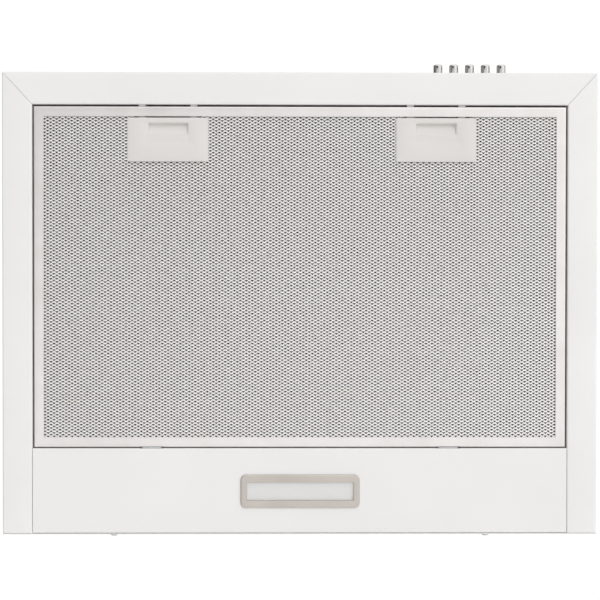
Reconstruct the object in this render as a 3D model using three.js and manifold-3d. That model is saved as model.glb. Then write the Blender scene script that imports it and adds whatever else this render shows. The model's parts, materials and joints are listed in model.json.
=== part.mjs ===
// Under cabinet range hood, 600 mm wide, with one swing-down grease filter, a lamp panel behind it,
// five push buttons on the front face and a centrifugal blower under a round duct collar.
// Millimetres. +Z is up, -Y is the front that faces the cook, +X is on the cook's right.
// The origin is the middle of the flat top, which screws up against the cabinet.
import * as THREE from "three";
import { mergeVertices } from "three/addons/utils/BufferGeometryUtils.js";
import Module from "manifold-3d";

const wasm = await Module();
wasm.setup();

// ---- Driving dimensions ----
const WIDTH = 600;
const DEPTH = 466;
const HEIGHT = 130;
const FACE_HEIGHT = 50; // the upright front face, below the slope
const SLOPE_RUN = 130; // how far back the slope goes before the top is flat
const SHEET = 0.8;
const GAP = 0.3; // between two pieces that touch
const RIM_SIDE = 30; // flat rims round the filter opening
const RIM_FRONT = 32.5;
const RIM_REAR = 87;
const LIP_TOP = 10.8; // top of the lips folded up round the opening
const FOLD = 14; // width of the hidden joining folds

const X_SIDE = WIDTH / 2;
const Y_FRONT = -DEPTH / 2;
const Y_BACK = DEPTH / 2;
const X_OPEN = X_SIDE - RIM_SIDE;
const Y_OPEN_FRONT = Y_FRONT + RIM_FRONT;
const Y_OPEN_REAR = Y_BACK - RIM_REAR;
const SLOPE = (HEIGHT - FACE_HEIGHT) / SLOPE_RUN;
const SLOPE_DROP = SHEET * Math.hypot(1, SLOPE); // the sloped sheet's thickness, measured upright

const FILTER_SIDE_GAP = 1.5;
const FILTER_FRONT_GAP = 1.8;
const FILTER_REAR_GAP = 1.0;
const FILTER_BOTTOM = 0.8;
const FILTER_THICK = 9;
const RAIL = 10; // visible width of the filter's frame
const X_FILTER = X_OPEN - FILTER_SIDE_GAP;
const Y_FILTER_FRONT = Y_OPEN_FRONT + FILTER_FRONT_GAP;
const Y_FILTER_REAR = Y_OPEN_REAR - FILTER_REAR_GAP;
const FILTER_TOP = FILTER_BOTTOM + FILTER_THICK;
const MESH_EDGE = 4; // how far the mesh stays inside the frame's outer faces
const FOIL = 0.5;
const TAB_X = 150; // two hook tabs at the filter's rear
const TAB_WIDTH = 20;

const LATCHES = { left: -133.5, right: 137 };
const PLATE_WIDTH = 80.9;
const PLATE_LENGTH = 44;
const Y_PLATE = Y_FILTER_FRONT + RAIL + 1.4;
const WINDOW_WIDTH = 41.5;
const WINDOW_LENGTH = 18.5;
const WINDOW_SETBACK = 5;
const WELL_LENGTH = 12.8; // finger well, at the window's front
const LATCH_TRAVEL = 5;
const TONGUE_X = 26;
const TONGUE_WIDTH = 7.3;

const BUTTONS = ["off", "speed_1", "speed_2", "speed_3", "light"];
const BUTTON_PITCH = 16.2;
const BUTTON_BANK_X = 173.5;
const BUTTON_Z = 25;
const BUTTON_RADIUS = 4.6;
const BUTTON_PROUD = 11.5;

const LAMP_Y = (Y_OPEN_REAR + Y_BACK) / 2;
const BEZEL = { width: 120.3, length: 33.6, corner: 5.5 };
const LENS = { width: 107.9, length: 18.2 };
const LED_PITCH = 17;
const LED_ROWS = 10.4;

const FAN_Y = 62; // the blower's axis runs left to right
const FAN_Z = 74;
const FAN_RADIUS = 40;
const BLADE_ROOT = 29.6; // the blades' inner radius
const VOLUTE_HALF = 60;
const VOLUTE_WALL = 2;
const VOLUTE_START = 45; // spiral radius at the cut-off
const VOLUTE_GROWTH = 0.0813; // of the logarithmic spiral, per radian
const THROAT = VOLUTE_START * Math.exp(VOLUTE_GROWTH * 1.5 * Math.PI);
const INLET_RADIUS = 36;
const DUCT_Y = FAN_Y + THROAT / 2;
const DUCT_RADIUS = 60;
const DUCT_WALL = 2.5;
const DUCT_TOP = HEIGHT + 30;
const FLAP_AXIS_Z = HEIGHT + 7;
const COLLAR_FLANGE = 2.5; // the collar's flange is clamped under the top sheet
const TOP_UNDER = HEIGHT - SHEET - GAP;
const BLOWER_TOP = TOP_UNDER - COLLAR_FLANGE - GAP;

const CABINET_HOLES = [[-220, -60], [220, -60], [-220, 170], [220, 170]];
const GLAND = { x: 190, y: 212 };
const GLAND_RADIUS = 6.6;

// ---- Materials ----
const finish = (color, roughness, metalness) =>
  new THREE.MeshStandardMaterial({ color, roughness, metalness });
const WHITE_PAINT = finish(0xecebe9, 0.35, 0.0);
const ALUMINIUM = finish(0xdcd8d4, 0.4, 0.8);
const GREY_PLASTIC = finish(0xdedad6, 0.5, 0.0);
const CHROME = finish(0xc8c8c8, 0.12, 1.0);
const SATIN_METAL = finish(0xc9c2b9, 0.35, 0.9);
const OPAL = finish(0xe3e4e2, 0.3, 0.0);
const BLACK_PLASTIC = finish(0x2a2a2c, 0.5, 0.0);
const WHITE_PLASTIC = finish(0xf0f0ee, 0.45, 0.0);
const ZINC = finish(0xb9bcc0, 0.35, 0.9);
const BOARD = finish(0xe6e8e4, 0.6, 0.0);
const CABLE = finish(0xb8b8b6, 0.6, 0.0);

// ---- Solids ----
const AXES = {
  x: new THREE.Matrix4().makeBasis(
    new THREE.Vector3(0, 1, 0), new THREE.Vector3(0, 0, 1), new THREE.Vector3(1, 0, 0)),
  y: new THREE.Matrix4().makeBasis(
    new THREE.Vector3(0, 0, 1), new THREE.Vector3(1, 0, 0), new THREE.Vector3(0, 1, 0)),
  z: new THREE.Matrix4(),
};

// A closed three.js geometry as a solid that can be joined and cut.
function solid(geometry) {
  const bare = (geometry.index ? geometry.toNonIndexed() : geometry).clone();
  bare.deleteAttribute("normal");
  bare.deleteAttribute("uv");
  const merged = mergeVertices(bare, 1e-4);
  const vertProperties = merged.attributes.position.array;
  const make = (triVerts) =>
    new wasm.Manifold(new wasm.Mesh({ numProp: 3, vertProperties, triVerts }));
  const triVerts = new Uint32Array(merged.index.array);
  const made = make(triVerts);
  return made.volume() < 0 ? make(triVerts.slice().reverse()) : made;
}

function block([x0, x1], [y0, y1], [z0, z1]) {
  const box = new THREE.BoxGeometry(x1 - x0, y1 - y0, z1 - z0);
  return solid(box.translate((x0 + x1) / 2, (y0 + y1) / 2, (z0 + z1) / 2));
}

// A shape drawn across one axis and pulled along it: (x, y) for z, (y, z) for x and (z, x) for y.
function pull(shape, axis, from, to, curveSegments = 8) {
  const made = new THREE.ExtrudeGeometry(shape, { depth: to - from, bevelEnabled: false, curveSegments });
  return solid(made.translate(0, 0, from).applyMatrix4(AXES[axis]));
}

const outline = (points) => new THREE.Shape(points.map(([a, b]) => new THREE.Vector2(a, b)));

function roundedRectangle(width, length, corner) {
  const [a, b] = [width / 2, length / 2];
  const shape = new THREE.Shape();
  shape.moveTo(-a + corner, -b).lineTo(a - corner, -b);
  shape.absarc(a - corner, -b + corner, corner, -Math.PI / 2, 0);
  shape.absarc(a - corner, b - corner, corner, 0, Math.PI / 2);
  shape.absarc(-a + corner, b - corner, corner, Math.PI / 2, Math.PI);
  shape.absarc(-a + corner, -b + corner, corner, Math.PI, 1.5 * Math.PI);
  return shape;
}

// A straight-sided cylinder along an axis, from one place on it to another.
function rod(axis, radius, from, to, [u, v], sides = 16) {
  const ring = new THREE.Shape().absarc(u, v, radius, 0, 2 * Math.PI);
  return pull(ring, axis, from, to, sides);
}

// A profile of [radius, height] points turned about a vertical line.
function turned(profile, [x, y], sides = 32) {
  const points = profile.map(([r, h]) => new THREE.Vector2(r, h));
  const lathe = new THREE.LatheGeometry([...points, points[0]], sides);
  return solid(lathe.rotateX(Math.PI / 2).translate(x, y, 0));
}

const join = (...solids) => solids.reduce((a, b) => a.add(b));
const cut = (body, ...tools) => tools.reduce((a, b) => a.subtract(b), body);

const hood = new THREE.Group();
hood.position.z = -HEIGHT; // below, z is measured from the bottom rim

function place(name, body, material, group = hood) {
  const { vertProperties, triVerts } = body.getMesh();
  const geometry = new THREE.BufferGeometry();
  geometry.setAttribute("position", new THREE.BufferAttribute(new Float32Array(vertProperties), 3));
  geometry.setIndex(new THREE.BufferAttribute(new Uint32Array(triVerts), 1));
  const flat = geometry.toNonIndexed();
  flat.computeVertexNormals();
  const mesh = new THREE.Mesh(flat, material);
  mesh.name = name;
  group.add(mesh);
}

const mirrored = (sign, a, b) => (sign < 0 ? [-b, -a] : [a, b]);

// ---- Casing ----
const slopeUnder = (y) => FACE_HEIGHT - SLOPE_DROP + (y - Y_FRONT) * SLOPE;
const mitreY = (x) => Y_FRONT + ((X_SIDE - GAP - x) * RIM_FRONT) / RIM_SIDE;

function frontFascia() {
  const reach = X_SIDE - SHEET - GAP;
  const face = block([-reach, reach], [Y_FRONT, Y_FRONT + SHEET], [0, slopeUnder(Y_FRONT) - GAP]);
  const rim = pull(outline([
    [-reach, Y_FRONT], [reach, Y_FRONT], [reach, mitreY(reach)],
    [X_OPEN - GAP, Y_OPEN_FRONT], [GAP - X_OPEN, Y_OPEN_FRONT], [-reach, mitreY(reach)],
  ]), "z", 0, SHEET);
  const lip = block([GAP - X_OPEN, X_OPEN - GAP], [Y_OPEN_FRONT - SHEET, Y_OPEN_FRONT], [0, LIP_TOP]);
  const buttonHoles = BUTTONS.map((_, i) =>
    rod("y", BUTTON_RADIUS + 0.6, Y_FRONT - 1, Y_FRONT + 2, [BUTTON_Z, buttonX(i)], 12));
  const strikes = Object.values(LATCHES).flatMap((x) => [-1, 1].map((side) => {
    const middle = x + side * TONGUE_X;
    const half = TONGUE_WIDTH / 2 + 1;
    return block([middle - half, middle + half], [Y_OPEN_FRONT - 2, Y_OPEN_FRONT + 1], [2.2, 6]);
  }));
  place("front_fascia", cut(join(face, rim, lip), ...buttonHoles, ...strikes), WHITE_PAINT);
}

function topShell() {
  const yHook = Y_FRONT + SHEET + GAP;
  const yFlat = Y_FRONT + SLOPE_RUN;
  const yFlatUnder = Y_FRONT + (HEIGHT - SHEET - slopeUnder(Y_FRONT)) / SLOPE;
  const sheet = pull(outline([
    [Y_FRONT, slopeUnder(Y_FRONT)], [yHook, slopeUnder(yHook)],
    [yHook, FACE_HEIGHT - FOLD], [yHook + SHEET, FACE_HEIGHT - FOLD],
    [yHook + SHEET, slopeUnder(yHook + SHEET)], [yFlatUnder, HEIGHT - SHEET],
    [Y_BACK, HEIGHT - SHEET], [Y_BACK, HEIGHT], [yFlat, HEIGHT], [Y_FRONT, FACE_HEIGHT],
  ]), "x", -X_SIDE, X_SIDE);
  // The hook behind the fascia stops short of the side panels.
  const [hookFront, hookRear] = [yHook - 0.1, yHook + SHEET + 0.1];
  const hookEnds = [-1, 1].map((sign) => pull(outline([
    [hookFront, FACE_HEIGHT - FOLD - 1], [hookRear, FACE_HEIGHT - FOLD - 1],
    [hookRear, slopeUnder(hookRear)], [hookFront, slopeUnder(hookFront)],
  ]), "x", ...mirrored(sign, X_SIDE - SHEET - GAP, X_SIDE + 1)));
  const hole = (radius, x, y, sides) => rod("z", radius, HEIGHT - 3, HEIGHT + 1, [x, y], sides);
  place("top_shell", cut(sheet, ...hookEnds,
    hole(DUCT_RADIUS + 0.4, 0, DUCT_Y, 24),
    hole(GLAND_RADIUS + 0.4, GLAND.x, GLAND.y, 12),
    ...CABINET_HOLES.map(([x, y]) => hole(3.5, x, y, 8)),
    ...[...blowerScrews(), ...collarScrews()].map(([x, y]) => hole(1.9, x, y, 5))), WHITE_PAINT);
}

function sidePanel(side, sign) {
  const plateTop = HEIGHT - SHEET - GAP;
  const yFlat = Y_FRONT + (plateTop - slopeUnder(Y_FRONT) + GAP) / SLOPE;
  const plate = pull(outline([
    [Y_FRONT, 0], [Y_BACK - SHEET - GAP, 0], [Y_BACK - SHEET - GAP, plateTop],
    [yFlat, plateTop], [Y_FRONT, slopeUnder(Y_FRONT) - GAP],
  ]), "x", ...mirrored(sign, X_SIDE - SHEET, X_SIDE));
  const rim = pull(outline([
    [sign * X_SIDE, Y_FRONT], [sign * X_OPEN, Y_OPEN_FRONT],
    [sign * X_OPEN, Y_BACK - SHEET - GAP], [sign * X_SIDE, Y_BACK - SHEET - GAP],
  ]), "z", 0, SHEET);
  const lip = block(mirrored(sign, X_OPEN, X_OPEN + SHEET),
    [Y_OPEN_FRONT + GAP, Y_BACK - 5], [0, LIP_TOP]);
  const inner = mirrored(sign, X_SIDE - FOLD, X_SIDE);
  const topFold = block(inner, [yFlat + 2, Y_BACK - 5], [plateTop - SHEET, plateTop]);
  const rearFold = block(inner, [Y_BACK - 2 * SHEET - GAP, Y_BACK - SHEET - GAP], [0, plateTop - 4]);
  place("side_panel_" + side, join(plate, rim, lip, topFold, rearFold), WHITE_PAINT);
}

const REAR_SCREW_X = 188.5;
const REAR_SCREW_Z = 8;

function backPanel() {
  const sheet = block([-X_SIDE, X_SIDE], [Y_BACK - SHEET, Y_BACK], [0, HEIGHT - SHEET - GAP]);
  const screwHoles = [-1, 1].map((sign) =>
    rod("y", 1.9, Y_BACK - 2, Y_BACK + 1, [REAR_SCREW_Z, sign * REAR_SCREW_X], 5));
  place("back_panel", cut(sheet, ...screwHoles), WHITE_PAINT);
}

const LAMP_CUTOUT = { width: 112, length: 26 };

function lampPanel() {
  const reach = X_OPEN - GAP;
  const yEnd = Y_BACK - SHEET - GAP;
  const sheet = block([-reach, reach], [Y_OPEN_REAR, yEnd], [0, SHEET]);
  const lip = block([-reach, reach], [Y_OPEN_REAR, Y_OPEN_REAR + SHEET], [0, LIP_TOP]);
  const rearFold = block([-reach, reach], [yEnd - SHEET, yEnd], [0, 16]);
  const slots = [-1, 1].map((sign) => {
    const half = TAB_WIDTH / 2 + 2;
    return block([sign * TAB_X - half, sign * TAB_X + half],
      [Y_OPEN_REAR - 1, Y_OPEN_REAR + 2], [SHEET, 8.8]);
  });
  const { width, length } = LAMP_CUTOUT;
  const lampHole = block([-width / 2, width / 2], [LAMP_Y - length / 2, LAMP_Y + length / 2], [-1, 2]);
  const screwHoles = [-1, 1].map((sign) =>
    rod("y", 1.9, yEnd - 2, yEnd + 1, [REAR_SCREW_Z, sign * REAR_SCREW_X], 5));
  place("lamp_panel", cut(join(sheet, lip, rearFold), ...slots, lampHole, ...screwHoles), WHITE_PAINT);
}

// ---- Screws ----
// A screw along an axis, with its round head standing out from the seat.
function panScrew(axis, tip, seat, proud, centre, headRadius = 3.8) {
  const span = (a, b) => (a < b ? [a, b] : [b, a]);
  const shank = rod(axis, 1.5, ...span(tip, seat + proud / 4), centre, 4);
  const head = rod(axis, headRadius, ...span(seat, seat + proud), centre, 8);
  return join(shank, head);
}

function rearScrew(side, sign) {
  place("rear_screw_" + side, panScrew("y", Y_BACK - 8, Y_BACK + GAP, 2.4,
    [REAR_SCREW_Z, sign * REAR_SCREW_X]), ZINC);
}

const blowerScrews = () => [[-64, 38], [64, 38], [-64, 152], [64, 152]];

// ---- Grease filter ----
function filterFrame(group) {
  const outer = block([-X_FILTER, X_FILTER], [Y_FILTER_FRONT, Y_FILTER_REAR],
    [FILTER_BOTTOM, FILTER_TOP]);
  const window = block([RAIL - X_FILTER, X_FILTER - RAIL],
    [Y_FILTER_FRONT + RAIL, Y_FILTER_REAR - RAIL], [FILTER_BOTTOM - 1, FILTER_TOP + 1]);
  const channel = block([SHEET - X_FILTER, X_FILTER - SHEET],
    [Y_FILTER_FRONT + SHEET, Y_FILTER_REAR - SHEET], [FILTER_BOTTOM + SHEET, FILTER_TOP - SHEET]);
  const tabs = [-1, 1].map((sign) => block(
    [sign * TAB_X - TAB_WIDTH / 2, sign * TAB_X + TAB_WIDTH / 2],
    [Y_FILTER_REAR - SHEET, Y_OPEN_REAR + SHEET + 3], [FILTER_BOTTOM + 0.8, FILTER_BOTTOM + 2]));
  const tongueSlots = Object.values(LATCHES).flatMap((x) => [-1, 1].map((side) => {
    const middle = x + side * TONGUE_X;
    const half = TONGUE_WIDTH / 2 + 0.5;
    return block([middle - half, middle + half], [Y_FILTER_FRONT - 1, Y_FILTER_FRONT + 2], [2.6, 5.2]);
  }));
  place("filter_frame", cut(join(cut(outer, window, channel), ...tabs), ...tongueSlots),
    ALUMINIUM, group);
}

// The mesh's outline, notched at the front where each latch sits.
function meshShape() {
  const [x, y0, y1] = [X_FILTER - MESH_EDGE, Y_FILTER_FRONT + MESH_EDGE, Y_FILTER_REAR - MESH_EDGE];
  const notches = Object.values(LATCHES).flatMap((middle) => [
    [middle - 34, y0], [middle - 34, Y_PLATE + PLATE_LENGTH - 2.5],
    [middle + 34, Y_PLATE + PLATE_LENGTH - 2.5], [middle + 34, y0],
  ]);
  return outline([[-x, y0], ...notches, [x, y0], [x, y1], [-x, y1]]);
}

const MESH_FRONT_Z = FILTER_BOTTOM + SHEET + GAP;
const MESH_BACK_Z = FILTER_TOP - SHEET - GAP - FOIL;

function filterMesh(group) {
  place("filter_mesh_front", pull(meshShape(), "z", MESH_FRONT_Z, MESH_FRONT_Z + FOIL), ALUMINIUM, group);
  place("filter_mesh_back", pull(meshShape(), "z", MESH_BACK_Z, MESH_BACK_Z + FOIL), ALUMINIUM, group);
  // The inner foil is folded to and fro between the two face meshes, with its folds running back.
  const [low, high] = [MESH_FRONT_Z + FOIL + GAP, MESH_BACK_Z - GAP];
  const half = X_FILTER - MESH_EDGE - 1;
  const folds = 26;
  const crest = (i) => [i % 2 ? high - FOIL : low, -half + (2 * half * i) / folds];
  const lower = Array.from({ length: folds + 1 }, (_, i) => crest(i));
  const upper = lower.map(([z, x]) => [z + FOIL, x]).reverse();
  const [y0, y1] = [Y_PLATE + PLATE_LENGTH, Y_FILTER_REAR - MESH_EDGE - 1];
  place("filter_inner_foil", pull(outline([...lower, ...upper]), "y", y0, y1), ALUMINIUM, group);
}

const Y_WINDOW = Y_PLATE + WINDOW_SETBACK;

function latchPlate(side, x, group) {
  const sheet = block([x - PLATE_WIDTH / 2, x + PLATE_WIDTH / 2], [Y_PLATE, Y_PLATE + PLATE_LENGTH],
    [FILTER_BOTTOM, FILTER_BOTTOM + SHEET]);
  const window = block([x - WINDOW_WIDTH / 2, x + WINDOW_WIDTH / 2],
    [Y_WINDOW, Y_WINDOW + WINDOW_LENGTH], [0, 3]);
  const springSeat = block([x - 30, x + 30],
    [Y_PLATE + PLATE_LENGTH - 4.5, Y_PLATE + PLATE_LENGTH - 3.5], [FILTER_BOTTOM, 8]);
  place("latch_plate_" + side, join(cut(sheet, window), springSeat), GREY_PLASTIC, group);
}

// The sliding part of a latch: a face behind the plate's window with the finger well in it,
// and two tongues that reach through the filter's frame into the front lip.
function latchSlide(side, x, group) {
  const z0 = MESH_FRONT_Z;
  const wellFront = Y_WINDOW - 0.6;
  const wellRear = Y_WINDOW + WELL_LENGTH;
  const wellHalf = WINDOW_WIDTH / 2 + 0.4;
  const [wellTop, skin] = [8.6, 1];
  const face = block([x - 31, x + 31], [Y_PLATE + 0.3, Y_PLATE + 30], [z0, z0 + skin]);
  const cup = block([x - wellHalf - skin, x + wellHalf + skin],
    [wellFront - skin, wellRear + skin], [z0, wellTop]);
  // The well's floor rises from front to back, so a fingertip slides in and catches the rear wall.
  const well = pull(outline([
    [wellFront, z0 - 1], [wellRear, z0 - 1], [wellRear, z0 + 3.2], [wellFront + 6, wellTop - skin],
    [wellFront, wellTop - skin],
  ]), "x", x - wellHalf, x + wellHalf);
  const tongues = [-1, 1].map((sign) => {
    const middle = x + sign * TONGUE_X;
    return block([middle - TONGUE_WIDTH / 2, middle + TONGUE_WIDTH / 2],
      [Y_OPEN_FRONT - SHEET - 2, Y_PLATE + 12], [z0 + skin, z0 + skin + 1.8]);
  });
  place("latch_slide_" + side, join(cut(join(face, cup), well), ...tongues), GREY_PLASTIC, group);
}

// A bowed steel strip between the slide and its seat.
function latchSpring(side, x, group) {
  const [front, rear] = [Y_PLATE + 30 + GAP, Y_PLATE + PLATE_LENGTH - 4.5 - GAP];
  const half = 24;
  const thick = 0.5;
  const depth = rear - front - thick;
  const bow = (u) => rear - thick - depth * Math.cos((u / half) * (Math.PI / 2)) ** 2;
  const steps = Array.from({ length: 13 }, (_, i) => -half + (2 * half * i) / 12);
  const strip = [...steps.map((u) => [x + u, bow(u)]),
    ...steps.reverse().map((u) => [x + u, bow(u) + thick])];
  place("latch_spring_" + side, pull(outline(strip), "z", 3, 7), ZINC, group);
}

// ---- Lamp ----
function ledBoard() {
  const boardBottom = 12.2;
  const board = block([-52, 52], [LAMP_Y - 10, LAMP_Y + 10], [boardBottom, boardBottom + 1.5]);
  const chips = [-2.5, -1.5, -0.5, 0.5, 1.5, 2.5].flatMap((column) => [-1, 1].map((row) => {
    const [cx, cy] = [column * LED_PITCH, LAMP_Y + (row * LED_ROWS) / 2];
    return block([cx - 1.75, cx + 1.75], [cy - 1.4, cy + 1.4], [boardBottom - 0.7, boardBottom + 0.5]);
  }));
  place("led_board", join(board, ...chips), BOARD);
}

function lamp() {
  const around = (width, length, z0, z1) =>
    block([-width / 2, width / 2], [LAMP_Y - length / 2, LAMP_Y + length / 2], [z0, z1]);
  const flange = pull(roundedRectangle(BEZEL.width, BEZEL.length, BEZEL.corner), "z", -1.6, -GAP, 5)
    .translate([0, LAMP_Y, 0]);
  const skirt = around(LAMP_CUTOUT.width - 0.6, LAMP_CUTOUT.length - 0.6, -1, 5);
  place("lamp_bezel", cut(join(flange, skirt), around(LENS.width, LENS.length, -3, 3),
    around(LENS.width + 1.6, LENS.length + 3.4, 0, 6)), SATIN_METAL);
  place("lamp_lens", around(LENS.width + 1, LENS.length + 2.8, GAP, 2.3), OPAL);
  const shell = around(118, 32, SHEET + GAP, 16);
  place("lamp_housing", cut(shell, around(114, 28, 0, 14)), WHITE_PLASTIC);
  ledBoard();
  place("led_driver", block([-190, -110], [LAMP_Y - 18, LAMP_Y + 18], [SHEET + GAP, 23]), WHITE_PLASTIC);
}

// ---- Push buttons ----
function buttonX(i) {
  return BUTTON_BANK_X + (i - (BUTTONS.length - 1) / 2) * BUTTON_PITCH;
}

const SWITCH_FACE = Y_FRONT + 12;

function button(name, i) {
  const [tip, root] = [Y_FRONT - BUTTON_PROUD, Y_FRONT + 7];
  const r = BUTTON_RADIUS;
  const profile = [[0, tip], [r - 1.6, tip + 0.1], [r - 0.5, tip + 0.6], [r, tip + 1.6], [r, root], [0, root]];
  const lathe = new THREE.LatheGeometry(profile.map(([a, b]) => new THREE.Vector2(a, b)), 20);
  const cap = solid(lathe.translate(buttonX(i), 0, BUTTON_Z));
  const stem = block([buttonX(i) - 2.2, buttonX(i) + 2.2], [root - 1, SWITCH_FACE + 9],
    [BUTTON_Z - 2.2, BUTTON_Z + 2.2]);
  place("button_" + name, join(cap, stem), CHROME);
}

function switchBank() {
  const half = BUTTON_PITCH * BUTTONS.length / 2 + 5;
  const across = [BUTTON_BANK_X - half, BUTTON_BANK_X + half];
  const body = block(across, [SWITCH_FACE, SWITCH_FACE + 25], [BUTTON_Z - 12, BUTTON_Z + 12]);
  const bores = BUTTONS.map((_, i) => block([buttonX(i) - 2.8, buttonX(i) + 2.8],
    [SWITCH_FACE - 1, SWITCH_FACE + 16], [BUTTON_Z - 2.8, BUTTON_Z + 2.8]));
  place("switch_block", cut(body, ...bores), BLACK_PLASTIC);
  // A bridge-shaped bracket holds the switch block behind the fascia.
  const [y0, y1] = [Y_FRONT + SHEET + GAP, SWITCH_FACE - GAP];
  const [x0, x1] = [across[0] - 8, across[1] + 8];
  const bridge = pull(outline([
    [x0, y0], [x0 + SHEET, y0], [x0 + SHEET, y1 - SHEET], [x1 - SHEET, y1 - SHEET],
    [x1 - SHEET, y0], [x1, y0], [x1, y1], [x0, y1],
  ]), "z", BUTTON_Z - 12, BUTTON_Z + 10);
  const holes = BUTTONS.map((_, i) =>
    block([buttonX(i) - 3, buttonX(i) + 3], [y1 - 2, y1 + 1], [BUTTON_Z - 3, BUTTON_Z + 3]));
  place("switch_bracket", cut(bridge, ...holes), ZINC);
}

// ---- Blower ----
// The spiral wall from the cut-off at the top, over the front and under the impeller to the back.
function spiral(offset, startAngle) {
  const steps = 22;
  return Array.from({ length: steps + 1 }, (_, i) => {
    const angle = startAngle + ((1.5 * Math.PI - startAngle) * i) / steps;
    const r = VOLUTE_START * Math.exp(VOLUTE_GROWTH * angle) + offset;
    return [FAN_Y - r * Math.sin(angle), FAN_Z + r * Math.cos(angle)];
  });
}

function voluteHalf(side, sign) {
  const outerWall = outline([[FAN_Y - VOLUTE_WALL, BLOWER_TOP],
    ...spiral(VOLUTE_WALL, VOLUTE_WALL / VOLUTE_START), [FAN_Y + THROAT + VOLUTE_WALL, BLOWER_TOP]]);
  const hollow = outline([[FAN_Y, HEIGHT + 5], ...spiral(0, 0), [FAN_Y + THROAT, HEIGHT + 5]]);
  const shell = pull(outerWall, "x", ...mirrored(sign, GAP / 2, VOLUTE_HALF));
  const flange = block(mirrored(sign, GAP / 2, 70), [DUCT_Y - 62, DUCT_Y + 62], [BLOWER_TOP - 2, BLOWER_TOP]);
  const bosses = blowerScrews().filter(([x]) => x * sign > 0).map(([x, y]) =>
    rod("z", 5, BLOWER_TOP - 1, TOP_UNDER, [x, y], 8));
  const inside = pull(hollow, "x", ...mirrored(sign, -1, VOLUTE_HALF - VOLUTE_WALL));
  const inlet = rod("x", INLET_RADIUS, ...mirrored(sign, 50, 65), [FAN_Y, FAN_Z], 18);
  const holes = blowerScrews().map(([x, y]) => rod("z", 1.9, BLOWER_TOP - 3, HEIGHT, [x, y], 5));
  const headRoom = collarScrews().map(([x, y]) => rod("z", 4.4, BLOWER_TOP - 3, BLOWER_TOP + 1, [x, y], 8));
  place("volute_" + side, cut(join(shell, flange, ...bosses), inside, inlet, ...holes, ...headRoom), WHITE_PLASTIC);
}

function inletGrille(side, sign) {
  const [x0, x1] = mirrored(sign, VOLUTE_HALF + GAP, VOLUTE_HALF + GAP + 3);
  const centre = [FAN_Y, FAN_Z];
  const ring = (outer, inner) => cut(rod("x", outer, x0, x1, centre, 16), rod("x", inner, x0 - 1, x1 + 1, centre, 16));
  const hub = rod("x", 12, x0, x1, centre, 10);
  const ribs = [0, 1, 2, 3, 4, 5].map((i) => {
    const rib = block([x0, x1], [10, INLET_RADIUS + 2], [-1.5, 1.5]).rotate([60 * i + 15, 0, 0]);
    return rib.translate([0, FAN_Y, FAN_Z]);
  });
  place("inlet_grille_" + side, join(ring(INLET_RADIUS + 9, INLET_RADIUS), ring(26, 23), hub, ...ribs),
    BLACK_PLASTIC);
}

function motor() {
  const centre = [FAN_Y, FAN_Z];
  const can = rod("x", 26, 14, VOLUTE_HALF, centre, 14);
  const nose = rod("x", 9, 10, 15, centre, 8);
  place("motor_stator", cut(join(can, nose), rod("x", 3.8, 9, 54, centre, 8)), ZINC);
  place("motor_shaft", rod("x", 3, -6, 53, centre, 8), ZINC);
}

function impeller() {
  const centre = [FAN_Y, FAN_Z];
  const half = 54;
  const disc = rod("x", FAN_RADIUS - 1, -1, 1, centre, 16);
  const hub = rod("x", 8, -7, 7, centre, 10);
  const ends = [-1, 1].map((sign) => {
    const [a, b] = mirrored(sign, half - 2, half);
    return cut(rod("x", FAN_RADIUS, a, b, centre, 16), rod("x", BLADE_ROOT + 3, a - 1, b + 1, centre, 16));
  });
  const blades = Array.from({ length: 24 }, (_, i) =>
    block([-half + 1, half - 1], [-0.5, 0.5], [BLADE_ROOT, FAN_RADIUS - 1.2])
      .rotate([15 * i, 0, 0]).translate([0, FAN_Y, FAN_Z]));
  place("impeller", cut(join(disc, hub, ...ends, ...blades), rod("x", 3.4, -8, 8, centre, 8)),
    BLACK_PLASTIC);
}

// ---- Duct collar and its two non-return flaps ----
const PIN_RADIUS = 1.5;

function ductCollar() {
  const r = DUCT_RADIUS;
  const flangeUnder = TOP_UNDER - COLLAR_FLANGE;
  const wall = turned([
    [r - 6.5, flangeUnder], [r + 14, flangeUnder], [r + 14, TOP_UNDER], [r, TOP_UNDER], [r, DUCT_TOP],
    [r - DUCT_WALL, DUCT_TOP], [r - DUCT_WALL, HEIGHT + 4.5], [r - 6.5, HEIGHT + 4.5],
  ], [0, DUCT_Y]);
  const bosses = [-1, 1].map((sign) => cut(
    block(mirrored(sign, 50, r - 1), [DUCT_Y - 3, DUCT_Y + 3], [HEIGHT + 3, FLAP_AXIS_Z + 3]),
    rod("x", PIN_RADIUS + 0.4, ...mirrored(sign, 49, 57), [DUCT_Y, FLAP_AXIS_Z], 4)));
  const holes = collarScrews().map(([x, y]) => rod("z", 1.9, flangeUnder - 1, HEIGHT, [x, y], 5));
  place("duct_collar", cut(join(wall, ...bosses), ...holes), BLACK_PLASTIC);
  place("flap_pin", rod("x", PIN_RADIUS, -56.5, 56.5, [DUCT_Y, FLAP_AXIS_Z], 4), ZINC);
}

const collarScrews = () => [45, 135, 225, 315].map((degrees) => {
  const angle = THREE.MathUtils.degToRad(degrees);
  return [(DUCT_RADIUS + 8) * Math.cos(angle), DUCT_Y + (DUCT_RADIUS + 8) * Math.sin(angle)];
});

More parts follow.
